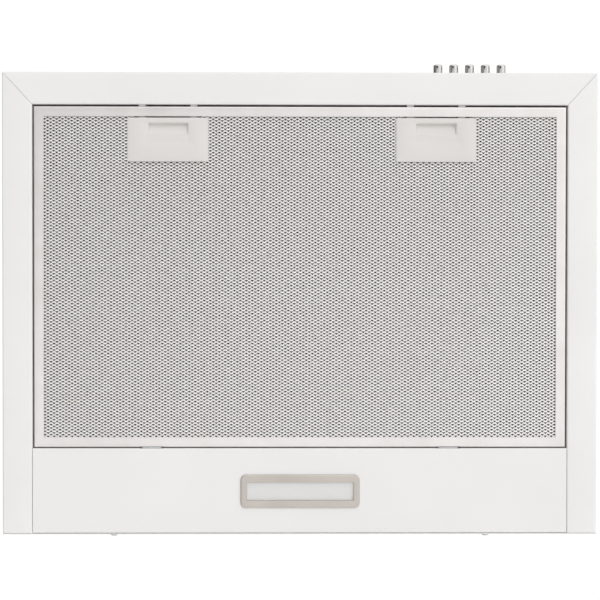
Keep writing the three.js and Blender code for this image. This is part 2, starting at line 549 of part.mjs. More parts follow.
// A half disc that hangs on the pin by two knuckles and lies on the collar's ledge when shut.
function flap(side, sign, knuckles) {
  const radius = DUCT_RADIUS - DUCT_WALL - 1;
  const [z0, z1] = [FLAP_AXIS_Z - 2, FLAP_AXIS_Z - 0.8];
  const disc = rod("z", radius, z0, z1, [0, DUCT_Y], 20);
  const other = block([-70, 70], sign > 0 ? [DUCT_Y - 70, DUCT_Y + 3.6] : [DUCT_Y - 3.6, DUCT_Y + 70], [z0 - 1, z1 + 1]);
  const shoulders = [-1, 1].map((end) =>
    block(mirrored(end, 48, 60), [DUCT_Y - 12, DUCT_Y + 12], [z0 - 1, z1 + 1]));
  const eyes = knuckles.flatMap((x) => [
    rod("x", 3, x - 5, x + 5, [DUCT_Y, FLAP_AXIS_Z], 6),
    block([x - 5, x + 5], sign > 0 ? [DUCT_Y + 1, DUCT_Y + 5] : [DUCT_Y - 5, DUCT_Y - 1], [z0, z1]),
  ]);
  const bore = rod("x", PIN_RADIUS + 0.4, -60, 60, [DUCT_Y, FLAP_AXIS_Z], 4);
  place("flap_" + side, cut(join(cut(disc, other, ...shoulders), ...eyes), bore), BLACK_PLASTIC);
}

// ---- Wiring ----
const TERMINAL_BOX = { x: [150, 230], y: [192, Y_BACK - SHEET - GAP], z: [86, 126] };

function wiring() {
  const { x, y, z } = TERMINAL_BOX;
  const shell = block(x, [y[0], y[1]], z);
  const hollow = block([x[0] + 2, x[1] - 2], [y[0] - 1, y[1] - 2], [z[0] + 2, z[1] - 2]);
  const glandHole = rod("z", 7.2, z[1] - 5, z[1] + 1, [GLAND.x, GLAND.y], 8);
  place("terminal_box", cut(shell, hollow, glandHole), WHITE_PLASTIC);
  place("terminal_lid", block(x, [y[0] - GAP - 2, y[0] - GAP], z), WHITE_PLASTIC);
  // The gland's shoulder sits between the terminal box and the top sheet, and its neck stands out.
  const r = GLAND_RADIUS;
  place("cable_gland", turned([
    [r - 2, z[1] - 6], [r, z[1] - 6], [r, z[1] + GAP], [11, z[1] + GAP], [11, TOP_UNDER], [r, TOP_UNDER],
    [r, HEIGHT + 6], [r - 2, HEIGHT + 6],
  ], [GLAND.x, GLAND.y], 16), BLACK_PLASTIC);
  place("capacitor", rod("x", 15, -120, -72, [Y_BACK - SHEET - GAP - 15.2, 100], 12), WHITE_PLASTIC);
}

const LEAD_ROUTES = {
  motor_lead: [[149, 214, 100], [120, 208, 97], [100, 165, 89], [90, 105, 79], [80, 62, 74], [63.8, 62, 74]],
  switch_lead: [[219.5, -208, 25], [246, -207, 26], [272, -192, 31], [284, -150, 44], [287, -40, 76],
    [286, 90, 100], [280, 190, 106], [258, 214, 102], [230.6, 214, 100]],
  driver_lead: [[-150, LAMP_Y, 23.6], [-150, LAMP_Y, 38], [-132, 214, 56], [-60, 222, 66],
    [60, 222, 82], [125, 216, 92], [149.5, 214, 93]],
  lamp_lead: [[-109, LAMP_Y, 11], [-96, LAMP_Y + 3, 12], [-78, LAMP_Y - 2, 10.5], [-59.6, LAMP_Y, 9]],
};

// An internal lead, held at both of its ends.
function lead(name, points, radius, steps) {
  const route = new THREE.CatmullRomCurve3(points.map((p) => new THREE.Vector3(...p)));
  const section = new THREE.Shape().absarc(0, 0, radius, 0, 2 * Math.PI);
  const tube = new THREE.ExtrudeGeometry(section, { extrudePath: route, steps, curveSegments: 4, bevelEnabled: false });
  place(name, solid(tube), CABLE);
}

// ---- Assembly ----
frontFascia();
topShell();
for (const [side, sign] of [["left", -1], ["right", 1]]) {
  sidePanel(side, sign);
  rearScrew(side, sign);
  voluteHalf(side, sign);
  inletGrille(side, sign);
}
backPanel();
lampPanel();
lamp();
BUTTONS.forEach(button);
switchBank();
motor();
impeller();
blowerScrews().forEach(([x, y], i) => place("blower_screw_" + (i + 1),
  panScrew("z", HEIGHT, BLOWER_TOP - 2 - GAP, -2, [x, y], 3.4), ZINC));
ductCollar();
collarScrews().forEach(([x, y], i) => place("collar_screw_" + (i + 1),
  panScrew("z", HEIGHT, TOP_UNDER - COLLAR_FLANGE - GAP, -2, [x, y], 3.4), ZINC));
flap("front", -1, [-35, 15]);
flap("rear", 1, [-15, 35]);
wiring();
for (const [name, route] of Object.entries(LEAD_ROUTES)) {
  const short = name === "lamp_lead";
  lead(name, route, short ? 1.8 : 2.5, short ? 10 : 26);
}

const filter = new THREE.Group();
hood.add(filter);
filterFrame(filter);
filterMesh(filter);
for (const [side, x] of Object.entries(LATCHES)) {
  latchPlate(side, x, filter);
  latchSlide(side, x, filter);
  latchSpring(side, x, filter);
}

export default hood;
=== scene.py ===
# The looks of a 600 mm under cabinet range hood, seen from straight below.
# Metres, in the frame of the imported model: +Z is up, -Y is the front, the origin is the middle of the top.
import json
import math

import bmesh
import bpy
import numpy as np
from mathutils import Matrix, Vector

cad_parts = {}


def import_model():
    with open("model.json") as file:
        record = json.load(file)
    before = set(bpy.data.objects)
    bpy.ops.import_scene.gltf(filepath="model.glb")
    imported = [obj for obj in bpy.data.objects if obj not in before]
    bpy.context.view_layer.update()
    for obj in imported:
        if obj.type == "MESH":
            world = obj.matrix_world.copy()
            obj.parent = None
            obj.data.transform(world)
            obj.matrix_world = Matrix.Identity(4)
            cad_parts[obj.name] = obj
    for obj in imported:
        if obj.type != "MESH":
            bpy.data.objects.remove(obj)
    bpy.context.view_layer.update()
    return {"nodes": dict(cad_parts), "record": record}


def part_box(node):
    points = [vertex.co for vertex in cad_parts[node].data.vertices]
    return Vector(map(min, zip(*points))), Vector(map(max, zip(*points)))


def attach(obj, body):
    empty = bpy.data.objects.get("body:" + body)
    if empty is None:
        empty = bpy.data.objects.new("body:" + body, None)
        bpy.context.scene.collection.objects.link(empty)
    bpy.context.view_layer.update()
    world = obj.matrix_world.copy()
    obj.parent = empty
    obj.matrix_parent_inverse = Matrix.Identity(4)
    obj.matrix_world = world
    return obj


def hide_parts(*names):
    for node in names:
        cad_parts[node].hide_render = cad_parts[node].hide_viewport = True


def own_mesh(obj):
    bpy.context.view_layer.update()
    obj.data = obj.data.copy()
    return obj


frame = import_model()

MM = 0.001

# ---------------------------------------------------------------- places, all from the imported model


class Box:
    """A node's place: its lowest and highest corners and its middle."""

    def __init__(self, node):
        self.lo, self.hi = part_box(node)
        self.mid = (self.lo + self.hi) / 2


FASCIA = Box("front_fascia")
TOP = Box("top_shell")
SIDE = Box("side_panel_left")
BACK = Box("back_panel")
LAMP = Box("lamp_panel")
FILTER = Box("filter_frame")
MESH = Box("filter_mesh_front")
MESH_BACK = Box("filter_mesh_back")
FOIL = Box("filter_inner_foil")
BEZEL = Box("lamp_bezel")
LENS = Box("lamp_lens")
LATCHES = ("left", "right")
BUTTONS = ("off", "speed_1", "speed_2", "speed_3", "light")

SHEET = 0.8 * MM
GAP = 0.3 * MM
BEND = 1.2 * MM  # middle-line radius of a bend in the painted sheet
UNDER = FASCIA.lo.z  # the bottom rim
Y_FRONT = FASCIA.lo.y
Y_BACK = BACK.hi.y
X_SIDE = TOP.hi.x
X_OPEN = -SIDE.hi.x
Y_OPEN_FRONT = FASCIA.hi.y
Y_OPEN_REAR = LAMP.lo.y
LIP_TOP = UNDER + 10.8 * MM
SLOPE_END = Y_FRONT + 130 * MM  # the flat top starts here
SLOPE_FOOT = UNDER + 50 * MM  # the top of the upright front face
PLATE_DEPTH = 44 * MM  # latch face plate, front to rear
LIGHT_LEVEL = 1.38


# ---------------------------------------------------------------- materials

def nodes_of(name):
    material = bpy.data.materials.new(name)
    material.use_nodes = True
    tree = material.node_tree
    shader = tree.nodes["Principled BSDF"]
    return material, tree, shader


def noise(tree, scale, detail=3.0, stretch=(1, 1, 1)):
    """Noise in object space. Scale is in repeats for each metre."""
    place = tree.nodes.new("ShaderNodeTexCoord")
    mapping = tree.nodes.new("ShaderNodeMapping")
    mapping.inputs["Scale"].default_value = stretch
    texture = tree.nodes.new("ShaderNodeTexNoise")
    texture.inputs["Scale"].default_value = scale
    texture.inputs["Detail"].default_value = detail
    tree.links.new(place.outputs["Object"], mapping.inputs["Vector"])
    tree.links.new(mapping.outputs["Vector"], texture.inputs["Vector"])
    return texture


def vary_colour(tree, shader, source, dark, light):
    ramp = tree.nodes.new("ShaderNodeValToRGB")
    ramp.color_ramp.elements[0].position = 0.3
    ramp.color_ramp.elements[1].position = 0.7
    ramp.color_ramp.elements[0].color = (*dark, 1)
    ramp.color_ramp.elements[1].color = (*light, 1)
    tree.links.new(source.outputs["Fac"], ramp.inputs["Fac"])
    tree.links.new(ramp.outputs["Color"], shader.inputs["Base Color"])


def vary_roughness(tree, shader, source, low, high):
    reach = tree.nodes.new("ShaderNodeMapRange")
    reach.inputs["To Min"].default_value = low
    reach.inputs["To Max"].default_value = high
    tree.links.new(source.outputs["Fac"], reach.inputs["Value"])
    tree.links.new(reach.outputs["Result"], shader.inputs["Roughness"])


def add_bump(tree, shader, source, distance, strength=1.0):
    bump = tree.nodes.new("ShaderNodeBump")
    bump.inputs["Strength"].default_value = strength
    bump.inputs["Distance"].default_value = distance
    tree.links.new(source.outputs["Fac"], bump.inputs["Height"])
    tree.links.new(bump.outputs["Normal"], shader.inputs["Normal"])


def surface(name, dark, light, rough, metallic=0.0, mottle=60, grain=1500, depth=0.00001, stretch=(1, 1, 1)):
    """A surface whose colour drifts between two tones, with a fine grain in its gloss and relief."""
    material, tree, shader = nodes_of(name)
    shader.inputs["Metallic"].default_value = metallic
    vary_colour(tree, shader, noise(tree, mottle), dark, light)
    fine = noise(tree, grain, 2.0, stretch)
    vary_roughness(tree, shader, fine, *rough)
    add_bump(tree, shader, fine, depth)
    return material, tree, shader


def white_paint():
    material, _, shader = surface("white_paint", (0.815, 0.803, 0.795), (0.84, 0.83, 0.822), (0.3, 0.4),
                                  mottle=9, grain=620, depth=0.000012)
    shader.inputs["Coat Weight"].default_value = 0.12
    return material


def aluminium():
    return surface("aluminium", (0.78, 0.755, 0.735), (0.84, 0.82, 0.805), (0.3, 0.45), 1.0,
                   mottle=35, grain=900, depth=0.000006, stretch=(0.08, 1, 1))[0]


def mesh_aluminium():
    return surface("mesh_aluminium", (0.79, 0.77, 0.75), (0.91, 0.892, 0.87), (0.25, 0.42), 1.0,
                   mottle=420, grain=1800, depth=0.00001)[0]


def shade_painted_inner_aluminium():
    """The layers inside the filter, in each other's shade: their near-black colour is painted shade, and its lighter
    patches are painted reflections of the folds.
    """
    return surface("shade_painted_inner_aluminium", (0.008, 0.008, 0.007), (0.14, 0.135, 0.125), (0.4, 0.6), 1.0,
                   mottle=190, grain=1800, depth=0.00001)[0]


def grey_plastic():
    return surface("grey_plastic", (0.70, 0.672, 0.65), (0.725, 0.70, 0.678), (0.45, 0.58),
                   mottle=14, grain=2600, depth=0.000012)[0]


def chrome():
    return surface("chrome", (0.58, 0.567, 0.558), (0.62, 0.607, 0.598), (0.04, 0.1), 1.0,
                   mottle=200, grain=700, depth=0.000002)[0]


def satin_metal():
    return surface("satin_metal", (0.53, 0.487, 0.448), (0.60, 0.555, 0.515), (0.3, 0.42), 1.0,
                   mottle=30, grain=1100, depth=0.000006, stretch=(0.03, 1, 1))[0]


def opal_lens():
    material, _, shader = surface("opal_lens", (0.85, 0.845, 0.83), (0.88, 0.875, 0.86), (0.1, 0.14),
                                  mottle=50, grain=1400, depth=0.000006)
    shader.inputs["Transmission Weight"].default_value = 0.2
    shader.inputs["IOR"].default_value = 1.49
    return material


def led_board():
    return surface("led_board", (0.86, 0.86, 0.84), (0.92, 0.92, 0.9), (0.4, 0.5), mottle=120)[0]


def led_phosphor():
    return surface("led_phosphor", (0.9, 0.68, 0.3), (0.95, 0.76, 0.4), (0.35, 0.45), mottle=500)[0]


def white_plastic():
    return surface("white_plastic", (0.80, 0.80, 0.78), (0.85, 0.85, 0.83), (0.38, 0.5), mottle=25,
                   grain=1700, depth=0.00002)[0]


def black_plastic():
    return surface("black_plastic", (0.022, 0.022, 0.024), (0.034, 0.034, 0.036), (0.38, 0.52), mottle=40,
                   grain=1700, depth=0.00002)[0]


def zinc_steel():
    return surface("zinc_steel", (0.55, 0.56, 0.58), (0.72, 0.73, 0.74), (0.24, 0.4), 1.0, mottle=260,
                   grain=1200, depth=0.000008)[0]


def cable():
    return surface("cable", (0.5, 0.5, 0.49), (0.56, 0.56, 0.55), (0.5, 0.62), mottle=90)[0]


SLOTS = {make.__name__: make() for make in (
    white_paint, aluminium, grey_plastic, chrome, satin_metal, opal_lens, led_board, white_plastic,
    black_plastic, zinc_steel, cable)}
MESH_ALUMINIUM = mesh_aluminium()
# painted shade: the filter's inner layers get a near-black colour for the shade inside the filter
SHADE_PAINTED_INNER_ALUMINIUM = shade_painted_inner_aluminium()
PHOSPHOR = led_phosphor()


# ---------------------------------------------------------------- mesh tools

def piece_from(name, verts, faces, slot, body, stands_for=(), material=None, crease=35):
    """A new piece with its finish, its body and the model nodes that it stands for."""
    mesh = bpy.data.meshes.new(name)
    mesh.from_pydata([tuple(v) for v in verts], [], faces)
    shape = bmesh.new()
    shape.from_mesh(mesh)
    bmesh.ops.recalc_face_normals(shape, faces=shape.faces)
    shape.to_mesh(mesh)
    shape.free()
    return dress(name, mesh, slot, body, stands_for, material, crease)


def dress(name, mesh, slot, body, stands_for=(), material=None, crease=35):
    mesh.shade_smooth()
    mesh.set_sharp_from_angle(angle=math.radians(crease))
    mesh.materials.clear()
    mesh.materials.append(material or SLOTS[slot])
    piece = bpy.data.objects.new(name, mesh)
    bpy.context.scene.collection.objects.link(piece)
    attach(piece, body)
    if stands_for:
        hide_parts(*stands_for)
    return piece


def soften(piece, width, segments=2, angle=40):
    bevel = piece.modifiers.new("soft_edges", "BEVEL")
    bevel.width = width
    bevel.segments = segments
    bevel.limit_method = "ANGLE"
    bevel.angle_limit = math.radians(angle)
    bevel.harden_normals = True
    return piece


def scratch(verts, faces):
    """A closed mesh that is only used to cut with."""
    mesh = bpy.data.meshes.new("cutter")
    mesh.from_pydata([tuple(v) for v in verts], [], faces)
    cutter = bpy.data.objects.new("cutter", mesh)
    bpy.context.scene.collection.objects.link(cutter)
    return cutter


def box_mesh(lo, hi):
    verts = [(x, y, z) for x in (lo[0], hi[0]) for y in (lo[1], hi[1]) for z in (lo[2], hi[2])]
    faces = [(0, 1, 3, 2), (4, 6, 7, 5), (0, 4, 5, 1), (2, 3, 7, 6), (0, 2, 6, 4), (1, 5, 7, 3)]
    return verts, faces


def rod_mesh(axis, radius, start, end, centre, sides=32):
    """A cylinder along an axis: centre is the other two coordinates, in x, y, z order."""
    verts, order = [], {"x": (0, 1, 2), "y": (1, 0, 2), "z": (2, 0, 1)}[axis]
    for along in (start, end):
        for i in range(sides):
            turn = 2 * math.pi * i / sides
            point = [0, 0, 0]
            point[order[0]] = along
            point[order[1]] = centre[0] + radius * math.cos(turn)
            point[order[2]] = centre[1] + radius * math.sin(turn)
            verts.append(tuple(point))
    faces = [(i, (i + 1) % sides, sides + (i + 1) % sides, sides + i) for i in range(sides)]
    faces += [tuple(range(sides)), tuple(range(2 * sides - 1, sides - 1, -1))]
    return verts, faces


def carve(piece, *cutters):
    """Cuts closed meshes out of a piece and keeps the result as its mesh."""
    made = [scratch(*cutter) for cutter in cutters]
    group = bpy.data.collections.new("cutters")
    for cutter in made:
        shape = bmesh.new()
        shape.from_mesh(cutter.data)
        bmesh.ops.recalc_face_normals(shape, faces=shape.faces)
        shape.to_mesh(cutter.data)
        shape.free()
        group.objects.link(cutter)
    boolean = piece.modifiers.new("cut", "BOOLEAN")
    boolean.operand_type = "COLLECTION"
    boolean.collection = group
    boolean.solver = "EXACT"
    settle(piece)
    for cutter in made:
        bpy.data.objects.remove(cutter)
    bpy.data.collections.remove(group)
    return piece


def settle(piece):
    """Keeps what a piece's modifiers make as its own mesh."""
    bpy.context.view_layer.update()
    graph = bpy.context.evaluated_depsgraph_get()
    mesh = bpy.data.meshes.new_from_object(piece.evaluated_get(graph))
    piece.modifiers.clear()
    piece.data = mesh
    mesh.shade_smooth()
    mesh.set_sharp_from_angle(angle=math.radians(35))


def bent_path(points, radius, steps=6):
    """Places and sideways directions along a line of straight runs with rounded corners."""
    points = [np.array(p, float) for p in points]
    samples = []

    def add(place, direction):
        samples.append((place, np.array((-direction[1], direction[0]))))

    def toward(a, b):
        return (b - a) / np.linalg.norm(b - a)

    add(points[0], toward(points[0], points[1]))
    for before, corner, after in zip(points, points[1:], points[2:]):
        into, out = toward(before, corner), toward(corner, after)
        turn = math.atan2(into[0] * out[1] - into[1] * out[0], float(into @ out))
        if abs(turn) < 0.02:
            add(corner, into)
            continue
        side = math.copysign(1, turn)
        start = corner - into * radius * math.tan(abs(turn) / 2)
        centre = start + side * radius * np.array((-into[1], into[0]))
        for i in range(steps + 1):
            angle = turn * i / steps
            c, s = math.cos(angle), math.sin(angle)
            direction = np.array((c * into[0] - s * into[1], s * into[0] + c * into[1]))
            add(centre - side * radius * np.array((-direction[1], direction[0])), direction)
    add(points[-1], toward(points[-2], points[-1]))
    return samples


def bent_sheet(points, thick, radius, place, steps=6):
    """A folded sheet. place(u, v, end) puts a point of the profile in space at either end (0 or 1)."""
    samples = bent_path(points, radius, steps)
    edges = [[p + side * thick / 2 * n for p, n in samples] for side in (1, -1)]
    verts = [place(p[0], p[1], end) for end in (0, 1) for edge in edges for p in edge]
    count = len(samples)

    def index(end, side, i):
        return (end * 2 + side) * count + i

    faces = []
    for i in range(count - 1):
        for side in (0, 1):
            faces.append((index(0, side, i), index(0, side, i + 1), index(1, side, i + 1), index(1, side, i)))
        for end in (0, 1):
            faces.append((index(end, 0, i), index(end, 0, i + 1), index(end, 1, i + 1), index(end, 1, i)))
    for i in (0, count - 1):
        faces.append((index(0, 0, i), index(0, 1, i), index(1, 1, i), index(1, 0, i)))
    return verts, faces


def rounded_loop(half_x, half_y, corner, centre, z, steps=6):
    """A level loop round a rectangle with rounded corners."""
    loop = []
    for quarter, (sx, sy) in enumerate(((1, 1), (-1, 1), (-1, -1), (1, -1))):
        cx, cy = centre[0] + sx * (half_x - corner), centre[1] + sy * (half_y - corner)
        for i in range(steps + 1):
            turn = math.pi / 2 * (quarter + i / steps)
            loop.append((cx + corner * math.cos(turn), cy + corner * math.sin(turn), z))
    return loop


def loft(loops, closed=False):
    """Joins loops of the same length. Closed joins the last to the first; otherwise both ends are capped."""
    count = len(loops[0])
    verts = [v for loop in loops for v in loop]
    faces = []
    rows = len(loops)
    for row in range(rows if closed else rows - 1):
        a, b = row * count, (row + 1) % rows * count
        faces += [(a + i, a + (i + 1) % count, b + (i + 1) % count, b + i) for i in range(count)]
    if not closed:
        faces += [tuple(range(count)), tuple(range((rows - 1) * count, rows * count))]
    return verts, faces


def circle(radius, along, centre, axis, sides):
    loop = []
    for i in range(sides):
        turn = 2 * math.pi * i / sides
        a, b = radius * math.cos(turn), radius * math.sin(turn)
        loop.append({"x": (along, centre[0] + a, centre[1] + b),
                     "y": (centre[0] + a, along, centre[1] + b),
                     "z": (centre[0] + a, centre[1] + b, along)}[axis])
    return loop


def turned(profile, centre, axis="z", sides=48):
    """A profile of (radius, place along the axis) turned about a line. A radius of 0 closes it."""
    return loop_ends([circle(radius, along, centre, axis, sides) for radius, along in profile])


def turned_ring(profile, centre, axis="z", sides=96):
    """A closed profile turned about a line that it doesn't reach."""
    return loft([circle(radius, along, centre, axis, sides) for radius, along in profile], closed=True)


def band(inner, outer, low, high, centre, axis="z", sides=96, edge=0.4 * MM):
    """A ring of rectangular section with chamfered edges."""
    return turned_ring([(inner, low + edge), (inner + edge, low), (outer - edge, low), (outer, low + edge),
                        (outer, high - edge), (outer - edge, high), (inner + edge, high), (inner, high - edge)],
                       centre, axis, sides)


def upright(loop):
    """A level loop turned to face front to rear: its second coordinate becomes the height."""
    return [(x, z, y) for x, y, z in loop]


def loop_ends(loops):
    """Like loft, but a loop shrunk to a point becomes one vertex."""
    verts, faces, rows = [], [], []
    for loop in loops:
        point = np.ptp(np.array(loop), axis=0).max() < 1e-9
        rows.append((len(verts), point))
        verts += [loop[0]] if point else loop
    count = max(len(loop) for loop in loops)
    for (a, a_point), (b, b_point) in zip(rows, rows[1:]):
        for i in range(count):
            j = (i + 1) % count
            if a_point:
                faces.append((a, b + j, b + i))
            elif b_point:
                faces.append((a + i, a + j, b))
            else:
                faces.append((a + i, a + j, b + j, b + i))
    if not rows[0][1]:
        faces.append(tuple(range(count)))
    if not rows[-1][1]:
        start = rows[-1][0]
        faces.append(tuple(range(start, start + count)))
    return verts, faces


def merged(*parts):
    """Several closed meshes as one."""
    verts, faces = [], []
    for more_verts, more_faces in parts:
        start = len(verts)
        verts += list(more_verts)
        faces += [tuple(i + start for i in face) for face in more_faces]
    return verts, faces


# ---------------------------------------------------------------- painted casing

def screw_places(kind, count):
    return [Box(f"{kind}_{i}").mid for i in range(1, count + 1)]


def front_fascia():
    y_face, z_rim, y_lip = Y_FRONT + SHEET / 2, UNDER + SHEET / 2, Y_OPEN_FRONT - SHEET / 2
    ratio = (X_SIDE - X_OPEN) / (Y_OPEN_FRONT - Y_FRONT)

    def place(y, z, end):
        reach = min(FASCIA.hi.x, X_SIDE - GAP - (y - Y_FRONT) * ratio)
        return (reach * (2 * end - 1), y, z)

    sheet = bent_sheet([(y_face, FASCIA.hi.z), (y_face, z_rim), (y_lip, z_rim), (y_lip, LIP_TOP)],
                       SHEET, BEND, place)
    piece = piece_from("fascia_skin", *sheet, "white_paint", "housing", ["front_fascia"])
    holes = []
    for name in BUTTONS:
        middle = Box("button_" + name).mid
        holes.append(rod_mesh("y", 5.2 * MM, Y_FRONT - MM, Y_FRONT + 2 * MM, (middle.x, middle.z)))
    for side in LATCHES:
        slide = Box("latch_slide_" + side)
        for x in (slide.lo.x + 5 * MM, slide.hi.x - 5 * MM):
            holes.append(box_mesh((x - 4.65 * MM, Y_OPEN_FRONT - 2 * MM, UNDER + 2.2 * MM),
                                  (x + 4.65 * MM, Y_OPEN_FRONT + MM, UNDER + 6 * MM)))
    soften(carve(piece, *holes), 0.12 * MM)


def side_panel(side, sign):
    x_plate, z_rim, x_lip = X_SIDE - SHEET / 2, UNDER + SHEET / 2, X_OPEN + SHEET / 2
    z_top = SIDE.hi.z - SHEET / 2
    rise = (TOP.hi.z - SLOPE_FOOT) / (SLOPE_END - Y_FRONT)
    z_foot = SLOPE_FOOT - SHEET * math.hypot(1, rise) - GAP
    y_rear = SIDE.hi.y

    def place(x, z, end):
        mitre = Y_FRONT + (X_SIDE - x) * (Y_OPEN_FRONT - Y_FRONT) / (X_SIDE - X_OPEN)
        slope = Y_FRONT + (z - z_foot) / rise
        return (sign * x, y_rear if end else max(mitre if z < z_foot else Y_FRONT, slope), z)

    sheet = bent_sheet([(X_SIDE - 14 * MM, z_top), (x_plate, z_top), (x_plate, z_foot), (x_plate, z_rim),
                        (x_lip, z_rim), (x_lip, LIP_TOP)], SHEET, BEND, place)
    piece = piece_from("side_skin_" + side, *sheet, "white_paint", "housing", ["side_panel_" + side])
    soften(piece, 0.12 * MM)


def top_shell():
    rise = (TOP.hi.z - SLOPE_FOOT) / (SLOPE_END - Y_FRONT)
    half = SHEET / 2
    y_hook = Y_FRONT + SHEET + GAP + half
    drop = half * math.hypot(1, rise)
    z_hook = SLOPE_FOOT - drop + (y_hook - Y_FRONT) * rise
    hook_end = SLOPE_FOOT - 14 * MM

    def place(y, z, end):
        inner = z < z_hook - 2.5 * MM
        reach = X_SIDE - (1.1 * MM if inner else 0)
        return (reach * (2 * end - 1), y, z)

    points = [(Y_BACK, TOP.hi.z - half), (SLOPE_END, TOP.hi.z - half), (Y_FRONT + half, SLOPE_FOOT - drop),
              (y_hook + 1.2 * MM, z_hook - 3 * MM), (y_hook + 1.2 * MM, hook_end)]
    sheet = bent_sheet(points, SHEET, 0.75 * MM, place)
    piece = piece_from("top_skin", *sheet, "white_paint", "housing", ["top_shell"])
    collar, gland = Box("duct_collar"), Box("cable_gland")

    def hole(x, y, radius):
        return rod_mesh("z", radius, TOP.hi.z - 4 * MM, TOP.hi.z + MM, (x, y), 96 if radius > 0.02 else 32)

    holes = [hole(collar.mid.x, collar.mid.y, 60.4 * MM), hole(gland.mid.x, gland.mid.y, 7 * MM)]
    holes += [hole(x * 220 * MM, y, 3.5 * MM) for x in (-1, 1) for y in (-60 * MM, 170 * MM)]
    holes += [hole(m.x, m.y, 1.9 * MM) for m in screw_places("blower_screw", 4) + screw_places("collar_screw", 4)]
    soften(carve(piece, *holes), 0.15 * MM)


def back_panel():
    slab = box_mesh((BACK.lo.x, BACK.lo.y, BACK.lo.z), (BACK.hi.x, BACK.hi.y, BACK.hi.z))
    piece = piece_from("back_skin", *slab, "white_paint", "housing", ["back_panel"])
    holes = []
    for side in LATCHES:
        screw = Box("rear_screw_" + side).mid
        holes.append(rod_mesh("y", 1.9 * MM, BACK.lo.y - MM, BACK.hi.y + MM, (screw.x, screw.z)))
    soften(carve(piece, *holes), 0.3 * MM, 3)


def lamp_panel():
    y_lip, z_sheet, y_rear = LAMP.lo.y + SHEET / 2, UNDER + SHEET / 2, LAMP.hi.y - SHEET / 2

    def place(y, z, end):
        return (LAMP.hi.x * (2 * end - 1), y, z)

    sheet = bent_sheet([(y_rear, LAMP.hi.z), (y_rear, z_sheet), (y_lip, z_sheet), (y_lip, LIP_TOP)],
                       SHEET, BEND, place)
    piece = piece_from("lamp_skin", *sheet, "white_paint", "housing", ["lamp_panel"])
    holes = [box_mesh((BEZEL.mid.x - 56 * MM, BEZEL.mid.y - 13 * MM, UNDER - MM),
                      (BEZEL.mid.x + 56 * MM, BEZEL.mid.y + 13 * MM, UNDER + 2 * MM))]
    for x in (-150 * MM, 150 * MM):
        holes.append(box_mesh((x - 12 * MM, LAMP.lo.y - MM, UNDER + SHEET),
                              (x + 12 * MM, LAMP.lo.y + 2 * MM, UNDER + 8.8 * MM)))
    for side in LATCHES:
        screw = Box("rear_screw_" + side).mid
        holes.append(rod_mesh("y", 1.9 * MM, y_rear - 2 * MM, y_rear + 2 * MM, (screw.x, screw.z)))
    soften(carve(piece, *holes), 0.12 * MM)


# ---------------------------------------------------------------- grease filter

def filter_frame():
    """A rolled channel all round, open towards the mesh."""
    half = SHEET / 2
    x, y0, y1 = FILTER.hi.x, FILTER.lo.y, Y_OPEN_REAR - MM
    middle = (0, (y0 + y1) / 2)
    rail = 10 * MM
    z0, z1 = FILTER.lo.z + half, FILTER.hi.z - half
    points = [(rail, z0 + 0.15 * MM), (5 * MM, z0), (half, z0), (half, z1), (rail, z1)]
    samples = bent_path(points, 1.3 * MM)
    outline = [p + half * n for p, n in samples] + [p - half * n for p, n in reversed(samples)]

    def loop(inset, z):
        across, along = x - inset, (y1 - y0) / 2 - inset
        return [(middle[0] + sx * across, middle[1] + sy * along, z)
                for sx, sy in ((-1, -1), (1, -1), (1, 1), (-1, 1))]

    ring = loft([loop(p[0], p[1]) for p in outline], closed=True)
    piece = piece_from("filter_rails", *ring, "aluminium", "filter", ["filter_frame"])
    slots = []
    for side in LATCHES:
        slide = Box("latch_slide_" + side)
        for sx in (slide.lo.x + 5 * MM, slide.hi.x - 5 * MM):
            slots.append(box_mesh((sx - 4.15 * MM, y0 - MM, UNDER + 2.6 * MM), (sx + 4.15 * MM, y0 + 2 * MM, UNDER + 5.2 * MM)))
    soften(carve(piece, *slots), 0.1 * MM)
    hooks = merged(*[box_mesh((sx * 150 * MM - 10 * MM, y1 - 6 * MM, UNDER + 2.4 * MM),
                              (sx * 150 * MM + 10 * MM, FILTER.hi.y, UNDER + 3.4 * MM)) for sx in (-1, 1)])
    soften(piece_from("filter_hooks", *hooks, "zinc_steel", "filter"), 0.4 * MM, 3)


def strand_spans(y):
    """The stretches of a strand at y that aren't under a latch."""
    spans, start = [], MESH.lo.x
    if y < Box("latch_plate_left").hi.y - 2.5 * MM:
        for side in LATCHES:
            middle = Box("latch_plate_" + side).mid.x
            spans.append((start, middle - 34 * MM))
            start = middle + 34 * MM
    spans.append((start, MESH.hi.x))
    return spans


